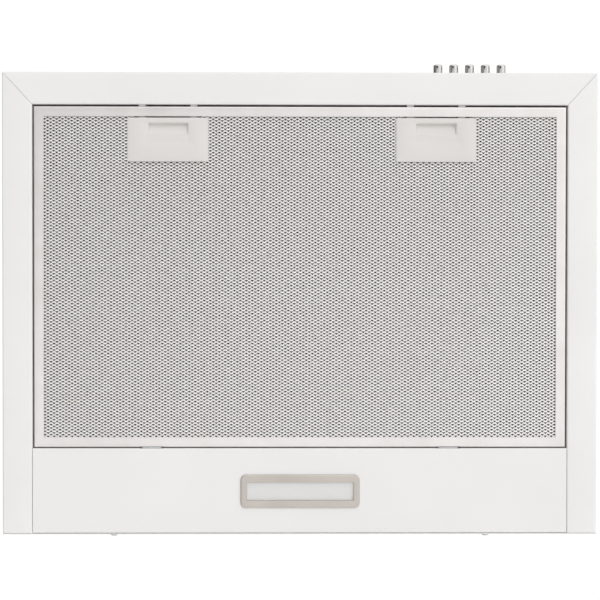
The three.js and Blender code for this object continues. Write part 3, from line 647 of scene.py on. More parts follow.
def mesh_layer(name, y_range, z, long_way, short_way, corners, section, material, parts=1):
    """A sheet of expanded metal: zigzag strands along X, each joined to the next where they meet.

    corners are (place in the wave, height) over one wave; section gives for each point of a strand's
    cross-section its (y, its share of the wave's height in y, z)."""
    pitch = short_way / 2
    count = int((y_range[1] - y_range[0]) / pitch)
    made = []
    for part in range(parts):
        verts, faces, total = [], [], 0
        for k in range(part * count // parts, (part + 1) * count // parts):
            y = y_range[0] + (k + 0.5) * pitch
            shift = (k % 2) * 0.5
            for start, end in strand_spans(y):
                waves = range(int(math.floor(start / long_way)) - 1, int(math.ceil(end / long_way)) + 2)
                xs = np.array([(w + shift + u) * long_way for w in waves for u, _ in corners])
                hs = np.array([h for _ in waves for _, h in corners])
                inside = (xs > start) & (xs < end)
                ends = np.interp([start, end], xs, hs)
                line = np.concatenate(([start], xs[inside], [end]))
                wave = np.concatenate(([ends[0]], hs[inside], [ends[1]]))
                n, sides = len(line), len(section)
                block = np.empty((n, sides, 3))
                for j, (dy, share, dz) in enumerate(section):
                    block[:, j, 0] = line
                    block[:, j, 1] = y + dy + share * wave
                    block[:, j, 2] = z + dz
                verts.append(block.reshape(-1, 3))
                i = np.arange(n - 1)[:, None] * sides + total
                j = np.arange(sides)[None, :]
                nxt = (j + 1) % sides
                faces.append(np.stack([i + j, i + nxt, i + sides + nxt, i + sides + j], -1).reshape(-1, 4))
                total += n * sides
        mesh = quad_mesh(name, np.concatenate(verts), np.concatenate(faces))
        label = name if parts == 1 else f"{name}_{part + 1}"
        made.append((label, mesh))
    return [dress(label, mesh, "aluminium", "filter", material=material, crease=60)
            for label, mesh in made]


def quad_mesh(name, verts, quads):
    mesh = bpy.data.meshes.new(name)
    mesh.vertices.add(len(verts))
    mesh.vertices.foreach_set("co", verts.astype(np.float32).ravel())
    mesh.loops.add(quads.size)
    mesh.loops.foreach_set("vertex_index", quads.astype(np.int32).ravel())
    mesh.polygons.add(len(quads))
    mesh.polygons.foreach_set("loop_start", np.arange(0, quads.size, 4, dtype=np.int32))
    mesh.update(calc_edges=True)
    mesh.validate()
    return mesh


def filter_mesh():
    """Strands with a straight rear edge and a toothed front edge, which leave a row of pointed holes."""
    wave = [(0.0, 1), (0.27, -1), (0.73, -1)]
    low, high = MESH.lo.z, MESH.hi.z
    front_edge = (0.10 * MM, 0.76 * MM, 0.19 * MM)
    crest = (0.46 * MM, 0.50 * MM, -0.19 * MM)
    rear_edge = (0.82 * MM, 0.24 * MM, 0.06 * MM)
    under = (0.5 * MM, 0.45 * MM, 0.45 * MM)
    y_range = (MESH.lo.y, MESH.hi.y)
    front = mesh_layer("mesh_front", y_range, (low + high) / 2, 6.06 * MM, 3.35 * MM, wave,
                       (front_edge, crest, rear_edge, under), MESH_ALUMINIUM, parts=4)
    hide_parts("filter_mesh_front")
    plain = [(0.0, 1), (0.5, -1)]
    rear = mesh_layer("mesh_rear", y_range, (MESH_BACK.lo.z + MESH_BACK.hi.z) / 2, 6.06 * MM, 3.35 * MM, plain,
                      [(-0.55 * MM, 0.5 * MM, -0.28 * MM), (0.55 * MM, 0.35 * MM, 0.28 * MM), (0.2 * MM, 0.4 * MM, -0.3 * MM)],
                      MESH_ALUMINIUM, parts=2)
    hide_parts("filter_mesh_back")
    filter_core()


def filter_core():
    """Finely pleated foil between the two meshes, with room left for the latches."""
    y_split = Box("latch_plate_left").hi.y - 2 * MM
    blocks = [((FOIL.lo.x, FOIL.hi.x), (y_split, FOIL.hi.y))]
    for x0, x1 in strand_spans(y_split - 2 * MM):
        blocks.append(((x0 + MM, x1 - MM), (MESH.lo.y + MM, y_split + 0.5 * MM)))
    parts = []
    for (x0, x1), (y0, y1) in blocks:
        folds = int((x1 - x0) / (2.4 * MM))
        ridge = [(x0 + (x1 - x0) * i / folds, FOIL.mid.z + (0.7 if i % 2 else -0.7) * MM) for i in range(folds + 1)]
        parts.append(bent_sheet(ridge, 0.1 * MM, 0.2 * MM, lambda x, z, end: (x, (y0, y1)[end], z), 2))
    # the foil's near-black colour is painted shade for the shade inside the filter
    piece_from("filter_core", *merged(*parts), "aluminium", "filter", ["filter_inner_foil"], SHADE_PAINTED_INNER_ALUMINIUM)


# ---------------------------------------------------------------- latches

def latch_plate(side):
    plate = Box("latch_plate_" + side)
    middle = (plate.mid.x, plate.lo.y + PLATE_DEPTH / 2)
    half = (plate.hi.x - plate.lo.x) / 2
    z0, z1 = plate.lo.z, plate.lo.z + SHEET
    window = Vector((middle[0], plate.lo.y + 5 * MM + 9.25 * MM))

    def outer(inset, z):
        return rounded_loop(half - inset, PLATE_DEPTH / 2 - inset, 1.3 * MM, middle, z)

    def inner(grow, z):
        return rounded_loop(20.75 * MM + grow, 9.25 * MM + grow, 2 * MM + grow, window, z)

    ring = loft([outer(0, z1), outer(0, z0 + 0.35 * MM), outer(0.1 * MM, z0 + 0.1 * MM), outer(0.35 * MM, z0),
                 inner(0.45 * MM, z0), inner(0.2 * MM, z0 + 0.08 * MM), inner(0.05 * MM, z0 + 0.25 * MM),
                 inner(0, z0 + 0.45 * MM), inner(0, z1)], closed=True)
    seat = box_mesh((middle[0] - 30 * MM, plate.lo.y + PLATE_DEPTH - 4.5 * MM, z1 - 0.1 * MM),
                    (middle[0] + 30 * MM, plate.lo.y + PLATE_DEPTH - 3.5 * MM, plate.hi.z))
    piece_from("latch_face_" + side, *merged(ring, seat), "grey_plastic", "filter", ["latch_plate_" + side])


def smooth(value):
    value = np.clip(value, 0, 1)
    return value * value * (3 - 2 * value)


def latch_slide(side):
    """The sliding plate, with the finger well as a smooth hollow in it."""
    slide, plate = Box("latch_slide_" + side), Box("latch_plate_" + side)
    middle = slide.mid.x
    y_front = plate.lo.y + 0.3 * MM
    y_window = plate.lo.y + 5 * MM
    xs = np.linspace(-31 * MM, 31 * MM, 187)
    ys = np.linspace(0, 29.7 * MM, 100) + y_front
    x, y = np.meshgrid(xs, ys)
    base = MESH.lo.z
    well_front, well_rear = y_window - 0.6 * MM, y_window + 12.4 * MM
    bow = 0.5 * MM * (1 - (x / (20 * MM)) ** 2)
    corner = 2.4 * MM
    beside = np.maximum(np.abs(x) - (21.1 * MM - corner), 0)
    ahead = np.maximum(well_front + corner - y, 0)
    inside = smooth((corner - np.hypot(beside, ahead)) / (1.4 * MM))
    fall = np.clip((well_rear + bow - y) / (well_rear - well_front), 0, 1)
    depth = 4.4 * MM * fall ** 0.8 + 0.45 * MM * smooth((well_rear + bow - y) / (0.6 * MM))
    z = base + inside * depth
    verts = np.stack([x + middle, y, z], -1).reshape(-1, 3)
    rows, cols = x.shape
    i = np.arange(rows - 1)[:, None] * cols + np.arange(cols - 1)[None, :]
    quads = np.stack([i, i + 1, i + cols + 1, i + cols], -1).reshape(-1, 4)
    mesh = quad_mesh("latch_slide", verts, quads)
    piece = dress("latch_shoe_" + side, mesh, "grey_plastic", "latch_" + side, ["latch_slide_" + side], crease=60)
    solid = piece.modifiers.new("thickness", "SOLIDIFY")
    solid.thickness = MM
    solid.offset = -1
    settle(piece)
    tongues = []
    for x_tongue in (slide.lo.x + 5 * MM, slide.hi.x - 5 * MM):
        tongues.append(box_mesh((x_tongue - 3.65 * MM, slide.lo.y, base + MM), (x_tongue + 3.65 * MM, y_front + 12 * MM, base + 2.8 * MM)))
    soften(piece_from("latch_tongues_" + side, *merged(*tongues), "grey_plastic", "latch_" + side), 0.4 * MM, 3)


# ---------------------------------------------------------------- lamp

def lamp():
    middle = (BEZEL.mid.x, BEZEL.mid.y)
    half_x, half_y = (BEZEL.hi.x - BEZEL.lo.x) / 2, (BEZEL.hi.y - BEZEL.lo.y) / 2
    z0, z1 = BEZEL.lo.z, UNDER - GAP

    def outer(inset, z):
        return rounded_loop(half_x - inset, half_y - inset, 5.5 * MM - inset, middle, z)

    def inner(grow, z):
        return rounded_loop(53.95 * MM + grow, 9.1 * MM + grow, 0.8 * MM + grow, middle, z)

    ring = loft([outer(0, z1), outer(0, z1 - 0.5 * MM), outer(0.15 * MM, z0 + 0.4 * MM),
                 outer(0.5 * MM, z0 + 0.1 * MM), outer(1.1 * MM, z0), inner(0.5 * MM, z0),
                 inner(0.15 * MM, z0 + 0.12 * MM), inner(0, z0 + 0.4 * MM), inner(0, UNDER + 0.2 * MM),
                 inner(1.2 * MM, UNDER + 0.2 * MM), inner(1.2 * MM, BEZEL.hi.z), inner(2 * MM, BEZEL.hi.z), inner(2 * MM, z1)],
                closed=True)
    piece_from("lamp_surround", *ring, "satin_metal", "housing", ["lamp_bezel"])
    lens = loft([rounded_loop(LENS.hi.x - 0.2 * MM, (LENS.hi.y - LENS.lo.y) / 2 - 0.2 * MM, 0.8 * MM, middle, LENS.lo.z),
                 rounded_loop(LENS.hi.x, (LENS.hi.y - LENS.lo.y) / 2, MM, middle, LENS.lo.z + 0.2 * MM),
                 rounded_loop(LENS.hi.x, (LENS.hi.y - LENS.lo.y) / 2, MM, middle, LENS.hi.z)])
    piece_from("lamp_window", *lens, "opal_lens", "housing", ["lamp_lens"])
    board = Box("led_board")
    chips = []
    for column in range(6):
        for row in (-1, 1):
            x, y = middle[0] + (column - 2.5) * 17 * MM, middle[1] + row * 5.2 * MM
            chips.append(turned([(0, board.lo.z - 0.35 * MM), (0.9 * MM, board.lo.z - 0.25 * MM),
                                 (1.3 * MM, board.lo.z + 0.2 * MM), (0, board.lo.z + 0.2 * MM)], (x, y), sides=20))
    piece_from("led_chips", *merged(*chips), "led_board", "housing", material=PHOSPHOR)


# ---------------------------------------------------------------- buttons and rear screws

def push_button(name):
    node = Box("button_" + name)
    radius = 4.6 * MM
    tip, root = node.lo.y, Y_FRONT + 7 * MM
    profile = [(0, tip)]
    for i in range(9):
        turn = math.pi / 2 * i / 8
        profile.append((radius - 1.5 * MM * (1 - math.sin(turn)), tip + 1.5 * MM * (1 - math.cos(turn)) + 0.05 * MM))
    profile += [(radius, root - 0.6 * MM), (radius - 0.3 * MM, root - 0.2 * MM), (radius - 0.6 * MM, root), (0, root)]
    cap = turned(profile, (node.mid.x, node.mid.z), "y", 64)
    stem = box_mesh((node.mid.x - 2.2 * MM, root - MM, node.mid.z - 2.2 * MM), (node.mid.x + 2.2 * MM, node.hi.y, node.mid.z + 2.2 * MM))
    piece_from("push_button_" + name, *merged(cap, stem), "chrome", "button_" + name, ["button_" + name], crease=50)


def dome_screw(axis, seat, proud, tip, centre, radius, name, stands_for):
    """A round headed screw with a cross recess: the head stands out from the seat by proud."""
    profile = [(0, seat + proud)]
    for i in range(1, 8):
        turn = math.pi / 2 * i / 7
        profile.append((radius * math.sin(turn), seat + proud * (0.25 + 0.75 * math.cos(turn))))
    profile += [(radius, seat), (1.45 * MM, seat)]
    steps = 14
    for i in range(steps):
        along = seat + (tip - seat) * (i + 0.5) / steps
        profile.append(((1.45 if i % 2 else 1.15) * MM, along))
    profile.append((0, tip))
    piece = piece_from(name, *turned(profile, centre, axis, 28), "zinc_steel", "housing", [stands_for])
    deep = seat + proud * 0.35
    out = seat + proud * 1.2
    recess = []
    for wide, narrow in ((2.0 * MM, 0.35 * MM), (0.35 * MM, 2.0 * MM)):
        if axis == "y":
            lo = (centre[0] - wide, min(deep, out), centre[1] - narrow)
            hi = (centre[0] + wide, max(deep, out), centre[1] + narrow)
        else:
            lo = (centre[0] - wide, centre[1] - narrow, min(deep, out))
            hi = (centre[0] + wide, centre[1] + narrow, max(deep, out))
        recess.append(box_mesh(lo, hi))
    carve(piece, *recess)
    return piece


def rear_screws():
    for side in LATCHES:
        node = Box("rear_screw_" + side)
        dome_screw("y", Y_BACK + GAP, 2.4 * MM, node.lo.y, (node.mid.x, node.mid.z), 3.8 * MM,
                   "rear_bolt_" + side, "rear_screw_" + side)


# ---------------------------------------------------------------- blower

FAN = Box("motor_shaft").mid  # its y and z give the axis
COLLAR = Box("duct_collar")
BLOWER_TOP = COLLAR.lo.z - GAP
SCROLL_START = 45 * MM
SCROLL_GROWTH = 0.0813
SCROLL_END = 1.5 * math.pi
THROAT = SCROLL_START * math.exp(SCROLL_GROWTH * SCROLL_END)


def scroll_line(offset, start=0.0, steps=72):
    """The scroll's outline from the cut-off round to the throat, as (y, z)."""
    line = []
    for i in range(steps + 1):
        angle = start + (SCROLL_END - start) * i / steps
        reach = SCROLL_START * math.exp(SCROLL_GROWTH * angle) + offset
        line.append((FAN.y - reach * math.sin(angle), FAN.z + reach * math.cos(angle)))
    return line


def scroll_shape(wall, top, start=0.0):
    return [(FAN.y - wall, top), *scroll_line(wall, start), (FAN.y + THROAT + wall, top)]


def volute(side, sign):
    """Half of the scroll: a thin moulded wall with stiffening ribs round it."""
    full, thin = 2 * MM, 1.3 * MM
    stations = [(0.15, full), (3.0, full), (3.4, thin)]
    for rib in (18, 37):
        stations += [(rib, thin), (rib + 0.4, full), (rib + 2.0, full), (rib + 2.4, thin)]
    stations += [(56.4, thin), (56.8, full), (59.6, full), (60, full - 0.4 * MM)]
    loops = [[(sign * x * MM, y, z) for y, z in scroll_shape(wall, BLOWER_TOP, 0.044)] for x, wall in stations]
    piece = piece_from("scroll_" + side, *loft(loops), "white_plastic", "housing", ["volute_" + side])
    inside = scroll_shape(0.0, 20 * MM)
    hollow = loft([[(sign * x * MM, y, z) for y, z in inside] for x in (-1, 58)])
    ends = sorted((sign * 50 * MM, sign * 65 * MM))
    carve(piece, hollow, rod_mesh("x", 36 * MM, *ends, (FAN.y, FAN.z), 96))

    x0, x1 = sorted((sign * 0.15 * MM, sign * 70 * MM))
    plate = box_mesh((x0, COLLAR.mid.y - 62 * MM, BLOWER_TOP - 2 * MM), (x1, COLLAR.mid.y + 62 * MM, BLOWER_TOP))
    flange = piece_from("scroll_flange_" + side, *plate, "white_plastic", "housing")
    opening = box_mesh((-58 * MM, FAN.y, BLOWER_TOP - 4 * MM), (58 * MM, FAN.y + THROAT, BLOWER_TOP + 4 * MM))
    holes = [rod_mesh("z", 1.9 * MM, BLOWER_TOP - 4 * MM, 0, (m.x, m.y)) for m in screw_places("blower_screw", 4)]
    room = [rod_mesh("z", 4.4 * MM, BLOWER_TOP - 4 * MM, 0, (m.x, m.y)) for m in screw_places("collar_screw", 4)]
    soften(carve(flange, opening, *holes, *room), 0.3 * MM)
    bosses = [band(1.9 * MM, 5 * MM, BLOWER_TOP - 0.2 * MM, COLLAR.hi.z - 31.1 * MM, (m.x, m.y), sides=36)
              for m in screw_places("blower_screw", 4) if m.x * sign > 0]
    piece_from("scroll_bosses_" + side, *merged(*bosses), "white_plastic", "housing")


def inlet_grille(side):
    node = Box("inlet_grille_" + side)
    centre = (FAN.y, FAN.z)
    rings = [band(inner * MM, outer * MM, node.lo.x, node.hi.x, centre, "x") for inner, outer in
             ((36, 45), (28.6, 30.4), (21.4, 23.2))]
    hub = turned([(0, node.lo.x), (11.4 * MM, node.lo.x), (12 * MM, node.lo.x + 0.6 * MM),
                  (12 * MM, node.hi.x - 0.6 * MM), (11.4 * MM, node.hi.x), (0, node.hi.x)], centre, "x", 64)
    ribs = []
    for i in range(9):
        line = []
        for step in range(7):
            reach = (10 + 27.5 * step / 6) * MM
            turn = 2 * math.pi * i / 9 + 0.5 * (step / 6) ** 1.3
            line.append((FAN.y + reach * math.cos(turn), FAN.z + reach * math.sin(turn)))
        ends = (node.lo.x + 0.4 * MM, node.hi.x - 0.4 * MM)
        ribs.append(bent_sheet(line, 1.8 * MM, 8 * MM, lambda y, z, end, ends=ends: (ends[end], y, z), 2))
    grille = piece_from("grille_" + side, *merged(*rings, hub, *ribs), "black_plastic", "housing",
                        ["inlet_grille_" + side])
    soften(grille, 0.2 * MM)


def motor():
    centre = (FAN.y, FAN.z)
    bore, nose = 3.8 * MM, 9 * MM
    can = [(24, 14), (25.4, 14.5), (26, 15.8)]
    for groove in range(5):
        x = 21 + 7 * groove
        can += [(26, x), (25.2, x + 0.5), (25.2, x + 1.8), (26, x + 2.3)]
    can += [(26, 58.2), (25.4, 59.5), (24, 60)]
    profile = [(0, 54 * MM), (bore, 54 * MM), (bore, 10 * MM), (nose - 0.5 * MM, 10 * MM),
               (nose, 10.5 * MM), (nose, 14 * MM)]
    profile += [(r * MM, x * MM) for r, x in can] + [(0, 60 * MM)]
    piece_from("motor_can", *turned(profile, centre, "x", 72), "zinc_steel", "housing", ["motor_stator"])
    shaft = Box("motor_shaft")
    rod = [(0, shaft.lo.x), (2.5 * MM, shaft.lo.x), (3 * MM, shaft.lo.x + 0.5 * MM),
           (3 * MM, shaft.hi.x - 0.5 * MM), (2.5 * MM, shaft.hi.x), (0, shaft.hi.x)]
    piece_from("fan_shaft", *turned(rod, centre, "x", 32), "zinc_steel", "impeller", ["motor_shaft"])


def impeller():
    """A double inlet wheel with curved blades between a middle disc and two end rings."""
    centre = (FAN.y, FAN.z)
    parts = [band(3.4 * MM, 39 * MM, -MM, MM, centre, "x", edge=0.2 * MM),
             band(3.4 * MM, 8 * MM, -7 * MM, 7 * MM, centre, "x", 48)]
    for low, high in ((-54, -52), (52, 54)):
        parts.append(band(32.6 * MM, 40 * MM, low * MM, high * MM, centre, "x"))
    for i in range(42):
        line = []
        for step in range(5):
            reach = (29.8 + 9.2 * step / 4) * MM
            turn = 2 * math.pi * i / 42 + 0.16 * (step / 4) ** 2
            line.append((FAN.y + reach * math.cos(turn), FAN.z + reach * math.sin(turn)))
        parts.append(bent_sheet(line, 0.7 * MM, 4 * MM,
                                lambda y, z, end: ((-53 * MM, 53 * MM)[end], y, z), 2))
    piece_from("fan_wheel", *merged(*parts), "black_plastic", "impeller", ["impeller"])


def roof_screws():
    for kind, count in (("blower", 4), ("collar", 4)):
        for i in range(1, count + 1):
            node = Box(f"{kind}_screw_{i}")
            dome_screw("z", node.lo.z + 2 * MM, -2 * MM, node.hi.z, (node.mid.x, node.mid.y), 3.4 * MM,
                       f"{kind}_fixing_{i}", f"{kind}_screw_{i}")


# ---------------------------------------------------------------- duct collar, flaps and gland

def duct_collar():
    middle = (COLLAR.mid.x, COLLAR.mid.y)
    low = COLLAR.lo.z / MM
    profile = [(53.5, low + 0.4), (53.9, low), (73.5, low), (74, low + 0.5), (74, low + 2.1), (73.6, low + 2.5),
               (60.3, low + 2.5), (60, low + 2.8), (60, 6), (59.5, 6.4), (59.5, 8.2), (60, 8.6), (60, 20),
               (59.5, 20.4), (59.5, 22.2), (60, 22.6), (60, 26.5), (59.4, 29.3), (58.8, 30), (58, 30),
               (57.5, 29.5), (57.5, 5), (57, 4.5), (54, 4.5), (53.5, 4)]
    ring = turned_ring([(r * MM, z * MM) for r, z in profile], middle, sides=144)
    piece = piece_from("collar_ring", *ring, "black_plastic", "housing", ["duct_collar"])
    carve(piece, *[rod_mesh("z", 1.9 * MM, COLLAR.lo.z - MM, 0, (m.x, m.y)) for m in screw_places("collar_screw", 4)])
    pin = Box("flap_pin")
    for side, sign in (("left", -1), ("right", 1)):
        x0, x1 = sorted((sign * 50 * MM, sign * 58 * MM))
        boss = box_mesh((x0, middle[1] - 3 * MM, 3 * MM), (x1, middle[1] + 3 * MM, pin.mid.z + 3 * MM))
        bearing = piece_from("pin_bearing_" + side, *boss, "black_plastic", "housing")
        bore = rod_mesh("x", 1.9 * MM, *sorted((sign * 49 * MM, sign * 57 * MM)), (pin.mid.y, pin.mid.z))
        soften(carve(bearing, bore), 0.5 * MM, 3)
    end = pin.hi.x
    rod = [(0, -end), (1.1 * MM, -end), (1.5 * MM, 0.4 * MM - end), (1.5 * MM, end - 0.4 * MM), (1.1 * MM, end), (0, end)]
    piece_from("hinge_pin", *turned(rod, (pin.mid.y, pin.mid.z), "x", 24), "zinc_steel", "housing", ["flap_pin"])


def flap(side, sign, knuckles):
    """A half disc with an arc rib and three straight ribs on top, hung on the pin by two knuckles."""
    pin = Box("flap_pin").mid
    radius, z0, z1 = 56.5 * MM, pin.z - 2 * MM, pin.z - 0.8 * MM
    first = math.asin(12 * MM / radius)
    outline = [(48 * MM, 3.6 * MM), (48 * MM, 12 * MM)]
    for i in range(49):
        turn = first + (math.pi - 2 * first) * i / 48
        outline.append((radius * math.cos(turn), radius * math.sin(turn)))
    outline += [(-48 * MM, 12 * MM), (-48 * MM, 3.6 * MM)]
    plate = loft([[(x, pin.y + sign * y, z) for x, y in outline] for z in (z0, z1)])
    arc = [(44 * MM * math.cos(math.radians(a)), 44 * MM * math.sin(math.radians(a))) for a in range(25, 156, 5)]

    def stand(x, y, end):
        return (x, pin.y + sign * y, (z1 - 0.2 * MM, z1 + 0.9 * MM)[end])

    parts = [plate, bent_sheet(arc, 1.2 * MM, 20 * MM, stand, 1)]
    for x, reach in ((-22, 36), (0, 43), (22, 36)):
        parts.append(bent_sheet([(x * MM, 14 * MM), (x * MM, reach * MM)], 1.2 * MM, MM, stand))
    for x in knuckles:
        parts.append(band(1.9 * MM, 3 * MM, (x - 5) * MM, (x + 5) * MM, (pin.y, pin.z), "x", 36, 0.2 * MM))
        y0, y1 = sorted((pin.y + sign * 2.2 * MM, pin.y + sign * 5 * MM))
        parts.append(box_mesh(((x - 5) * MM, y0, z0), ((x + 5) * MM, y1, z1)))
    shape = piece_from("damper_" + side, *merged(*parts), "black_plastic", "flap_" + side, ["flap_" + side])
    soften(shape, 0.2 * MM)


def cable_gland():
    gland = Box("cable_gland")
    centre = (gland.mid.x, gland.mid.y)
    shoulder = COLLAR.lo.z / MM
    profile = [(4.6, -10), (6.4, -10), (6.6, -9.8), (6.6, shoulder - 0.1), (10.6, shoulder - 0.1), (11, shoulder + 0.3),
               (11, shoulder + 2.1), (10.6, shoulder + 2.5), (6.6, shoulder + 2.5), (6.6, 0.8), (6.2, 1), (6.2, 1.5),
               (6.6, 1.7), (6.6, 4.6), (6.2, 5.5), (5.4, 6), (4.9, 5.9), (4.6, 5.5)]
    ring = turned_ring([(r * MM, z * MM) for r, z in profile], centre, sides=72)
    piece = piece_from("gland_body", *ring, "black_plastic", "housing", ["cable_gland"])
    flutes = []
    for i in range(12):
        turn = math.pi * i / 6
        place = (centre[0] + 7.1 * MM * math.cos(turn), centre[1] + 7.1 * MM * math.sin(turn))
        flutes.append(rod_mesh("z", 0.9 * MM, 1.7 * MM, 7 * MM, place, 16))
    carve(piece, *flutes)
    seal = turned([(0, 4.3 * MM), (4.7 * MM, 3.7 * MM), (4.7 * MM, 2.8 * MM), (0, 3.4 * MM)], centre, sides=48)
    piece_from("gland_seal", *seal, "black_plastic", "housing")


# ---------------------------------------------------------------- wiring and lamp parts

def terminal_box():
    box, lid = Box("terminal_box"), Box("terminal_lid")
    centre, half_x, half_z = (box.mid.x, box.mid.z), (box.hi.x - box.lo.x) / 2, (box.hi.z - box.lo.z) / 2

    def outer(y, inset=0.0):
        return upright(rounded_loop(half_x - inset, half_z - inset, 3 * MM, centre, y))

    def inner(y):
        return upright(rounded_loop(half_x - 2 * MM, half_z - 2 * MM, 1.5 * MM, centre, y))

    shell = loft([outer(box.hi.y, 0.5 * MM), outer(box.hi.y - 0.5 * MM), outer(box.lo.y + 3 * MM),
                  outer(box.lo.y + 2.8 * MM, 0.3 * MM), outer(box.lo.y + 2.2 * MM, 0.3 * MM), outer(box.lo.y + 2 * MM),
                  outer(box.lo.y), inner(box.lo.y), inner(box.hi.y - 2 * MM)])
    piece = piece_from("junction_box", *shell, "white_plastic", "housing", ["terminal_box"])
    gland = Box("cable_gland").mid
    carve(piece, rod_mesh("z", 7.2 * MM, box.hi.z - 5 * MM, box.hi.z + MM, (gland.x, gland.y), 48))
    panel = loft([outer(lid.hi.y), outer(lid.lo.y + 0.5 * MM), outer(lid.lo.y, 0.5 * MM)])
    cover = piece_from("junction_lid", *panel, "white_plastic", "housing", ["terminal_lid"])
    seats = [(lid.mid.x + side * 34 * MM, lid.mid.z + side * 14 * MM) for side in (-1, 1)]
    carve(cover, *[rod_mesh("y", 3.4 * MM, lid.lo.y - MM, lid.lo.y + 1.2 * MM, seat) for seat in seats])
    heads = [turned([(0, lid.lo.y + 0.1 * MM), (1.8 * MM, lid.lo.y + 0.3 * MM), (2.8 * MM, lid.lo.y + 1.1 * MM),
                     (0, lid.lo.y + 1.3 * MM)], seat, "y", 28) for seat in seats]
    piece_from("lid_screws", *merged(*heads), "zinc_steel", "housing")


def capacitor():
    node = Box("capacitor")
    centre = (node.mid.y, node.mid.z)
    start, end, radius = node.lo.x, node.hi.x, (node.hi.z - node.lo.z) / 2
    profile = [(0, start), (radius - 1.2 * MM, start), (radius, start + 1.2 * MM), (radius, end - 5.6 * MM),
               (radius - 0.8 * MM, end - 4.8 * MM), (radius - 0.8 * MM, end - 4.2 * MM), (radius - 1.8 * MM, end - 3.9 * MM),
               (radius - 2.4 * MM, end - 5 * MM), (0, end - 5 * MM)]
    can = turned(profile, centre, "x", 64)
    piece_from("capacitor_can", *can, "white_plastic", "housing", ["capacitor"])
    blades = [box_mesh((end - 5.2 * MM, centre[0] - 3 * MM, centre[1] + z - 0.4 * MM),
                       (end, centre[0] + 3 * MM, centre[1] + z + 0.4 * MM)) for z in (-6 * MM, 6 * MM)]
    soften(piece_from("capacitor_tags", *merged(*blades), "zinc_steel", "housing"), 0.2 * MM)


def lamp_tray():
    node = Box("lamp_housing")
    middle, half_x, half_y = (node.mid.x, node.mid.y), (node.hi.x - node.lo.x) / 2, (node.hi.y - node.lo.y) / 2

    def loop(inset, z):
        return rounded_loop(half_x - inset, half_y - inset, 3 * MM, middle, z)

    tray = loft([loop(0.6 * MM, node.hi.z), loop(0, node.hi.z - 0.6 * MM), loop(0, node.lo.z),
                 loop(2 * MM, node.lo.z), loop(2 * MM, node.hi.z - 2 * MM)])
    piece_from("lamp_tray", *tray, "white_plastic", "housing", ["lamp_housing"])


def led_driver():
    node = Box("led_driver")
    half_x, half_y = (node.hi.x - node.lo.x) / 2, (node.hi.y - node.lo.y) / 2
    middle = (node.mid.x, node.mid.y)

    def loop(x_inset, y_inset, z):
        return rounded_loop(half_x - x_inset * MM, half_y - y_inset * MM, 2.5 * MM, middle, z)

    seam = node.lo.z + 13 * MM
    body = loft([loop(0, 0, node.lo.z), loop(0, 0, node.lo.z + 2.4 * MM), loop(0.5, 0.5, node.lo.z + 2.8 * MM),
                 loop(7, 0.5, node.lo.z + 2.9 * MM), loop(7, 0.5, seam), loop(7.5, 1, seam + 0.2 * MM),
                 loop(7.5, 1, seam + 0.9 * MM), loop(7, 0.5, seam + 1.1 * MM), loop(7, 0.5, node.hi.z - 1.2 * MM),
                 loop(8.2, 1.7, node.hi.z)])
    piece = piece_from("driver_case", *body, "white_plastic", "housing", ["led_driver"])
    carve(piece, *[rod_mesh("z", 1.8 * MM, node.lo.z - MM, node.lo.z + 5 * MM, (x, node.mid.y))
                   for x in (node.lo.x + 3.4 * MM, node.hi.x - 3.4 * MM)])


def switch_bank():
    block, bracket = Box("switch_block"), Box("switch_bracket")
    middles = [Box("button_" + name).mid for name in BUTTONS]
    cuts = [box_mesh((m.x - 2.8 * MM, block.lo.y - MM, m.z - 2.8 * MM), (m.x + 2.8 * MM, block.lo.y + 16 * MM, m.z + 2.8 * MM))
            for m in middles]
    pitch = middles[1].x - middles[0].x
    for i in range(len(middles) + 1):
        x = middles[0].x + (i - 0.5) * pitch
        cuts.append(box_mesh((x - 0.4 * MM, block.lo.y + 2 * MM, block.lo.z - MM), (x + 0.4 * MM, block.hi.y + MM, block.lo.z + MM)))
        cuts.append(box_mesh((x - 0.4 * MM, block.hi.y - MM, block.lo.z - MM), (x + 0.4 * MM, block.hi.y + MM, block.hi.z + MM)))
    body = piece_from("switch_body", *box_mesh(block.lo, block.hi), "black_plastic", "housing", ["switch_block"])
    soften(carve(body, *cuts), 0.3 * MM)
    half = SHEET / 2
    x0, x1 = bracket.lo.x + half, bracket.hi.x - half
    y0, y1 = bracket.lo.y, bracket.hi.y - half
    bridge = bent_sheet([(x0, y0), (x0, y1), (x1, y1), (x1, y0)], SHEET, 1.2 * MM,
                        lambda x, y, end: (x, y, (bracket.lo.z, bracket.hi.z)[end]))
    strap = piece_from("switch_strap", *bridge, "zinc_steel", "housing", ["switch_bracket"])
    carve(strap, *[box_mesh((m.x - 3 * MM, y1 - 2 * MM, m.z - 3 * MM), (m.x + 3 * MM, y1 + 2 * MM, m.z + 3 * MM))
                   for m in middles])


def latch_spring(side):
    """A bowed steel strip, built in its bowed rest shape; the real one flattens as its latch is drawn back."""
    node = Box("latch_spring_" + side)
    half, thick = (node.hi.x - node.lo.x) / 2, 0.5 * MM
    depth = node.hi.y - node.lo.y - thick
    line = []
    for i in range(33):
        u = -1 + 2 * i / 32
        line.append((node.mid.x + u * half, node.hi.y - thick / 2 - depth * math.cos(u * math.pi / 2) ** 2))
    strip = bent_sheet(line, thick, 10 * MM, lambda x, y, end: (x, y, (node.lo.z, node.hi.z)[end]), 1)
    piece = piece_from("latch_leaf_" + side, *strip, "zinc_steel", "filter", ["latch_spring_" + side])
    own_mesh(piece)


# ---------------------------------------------------------------- the model's own nodes

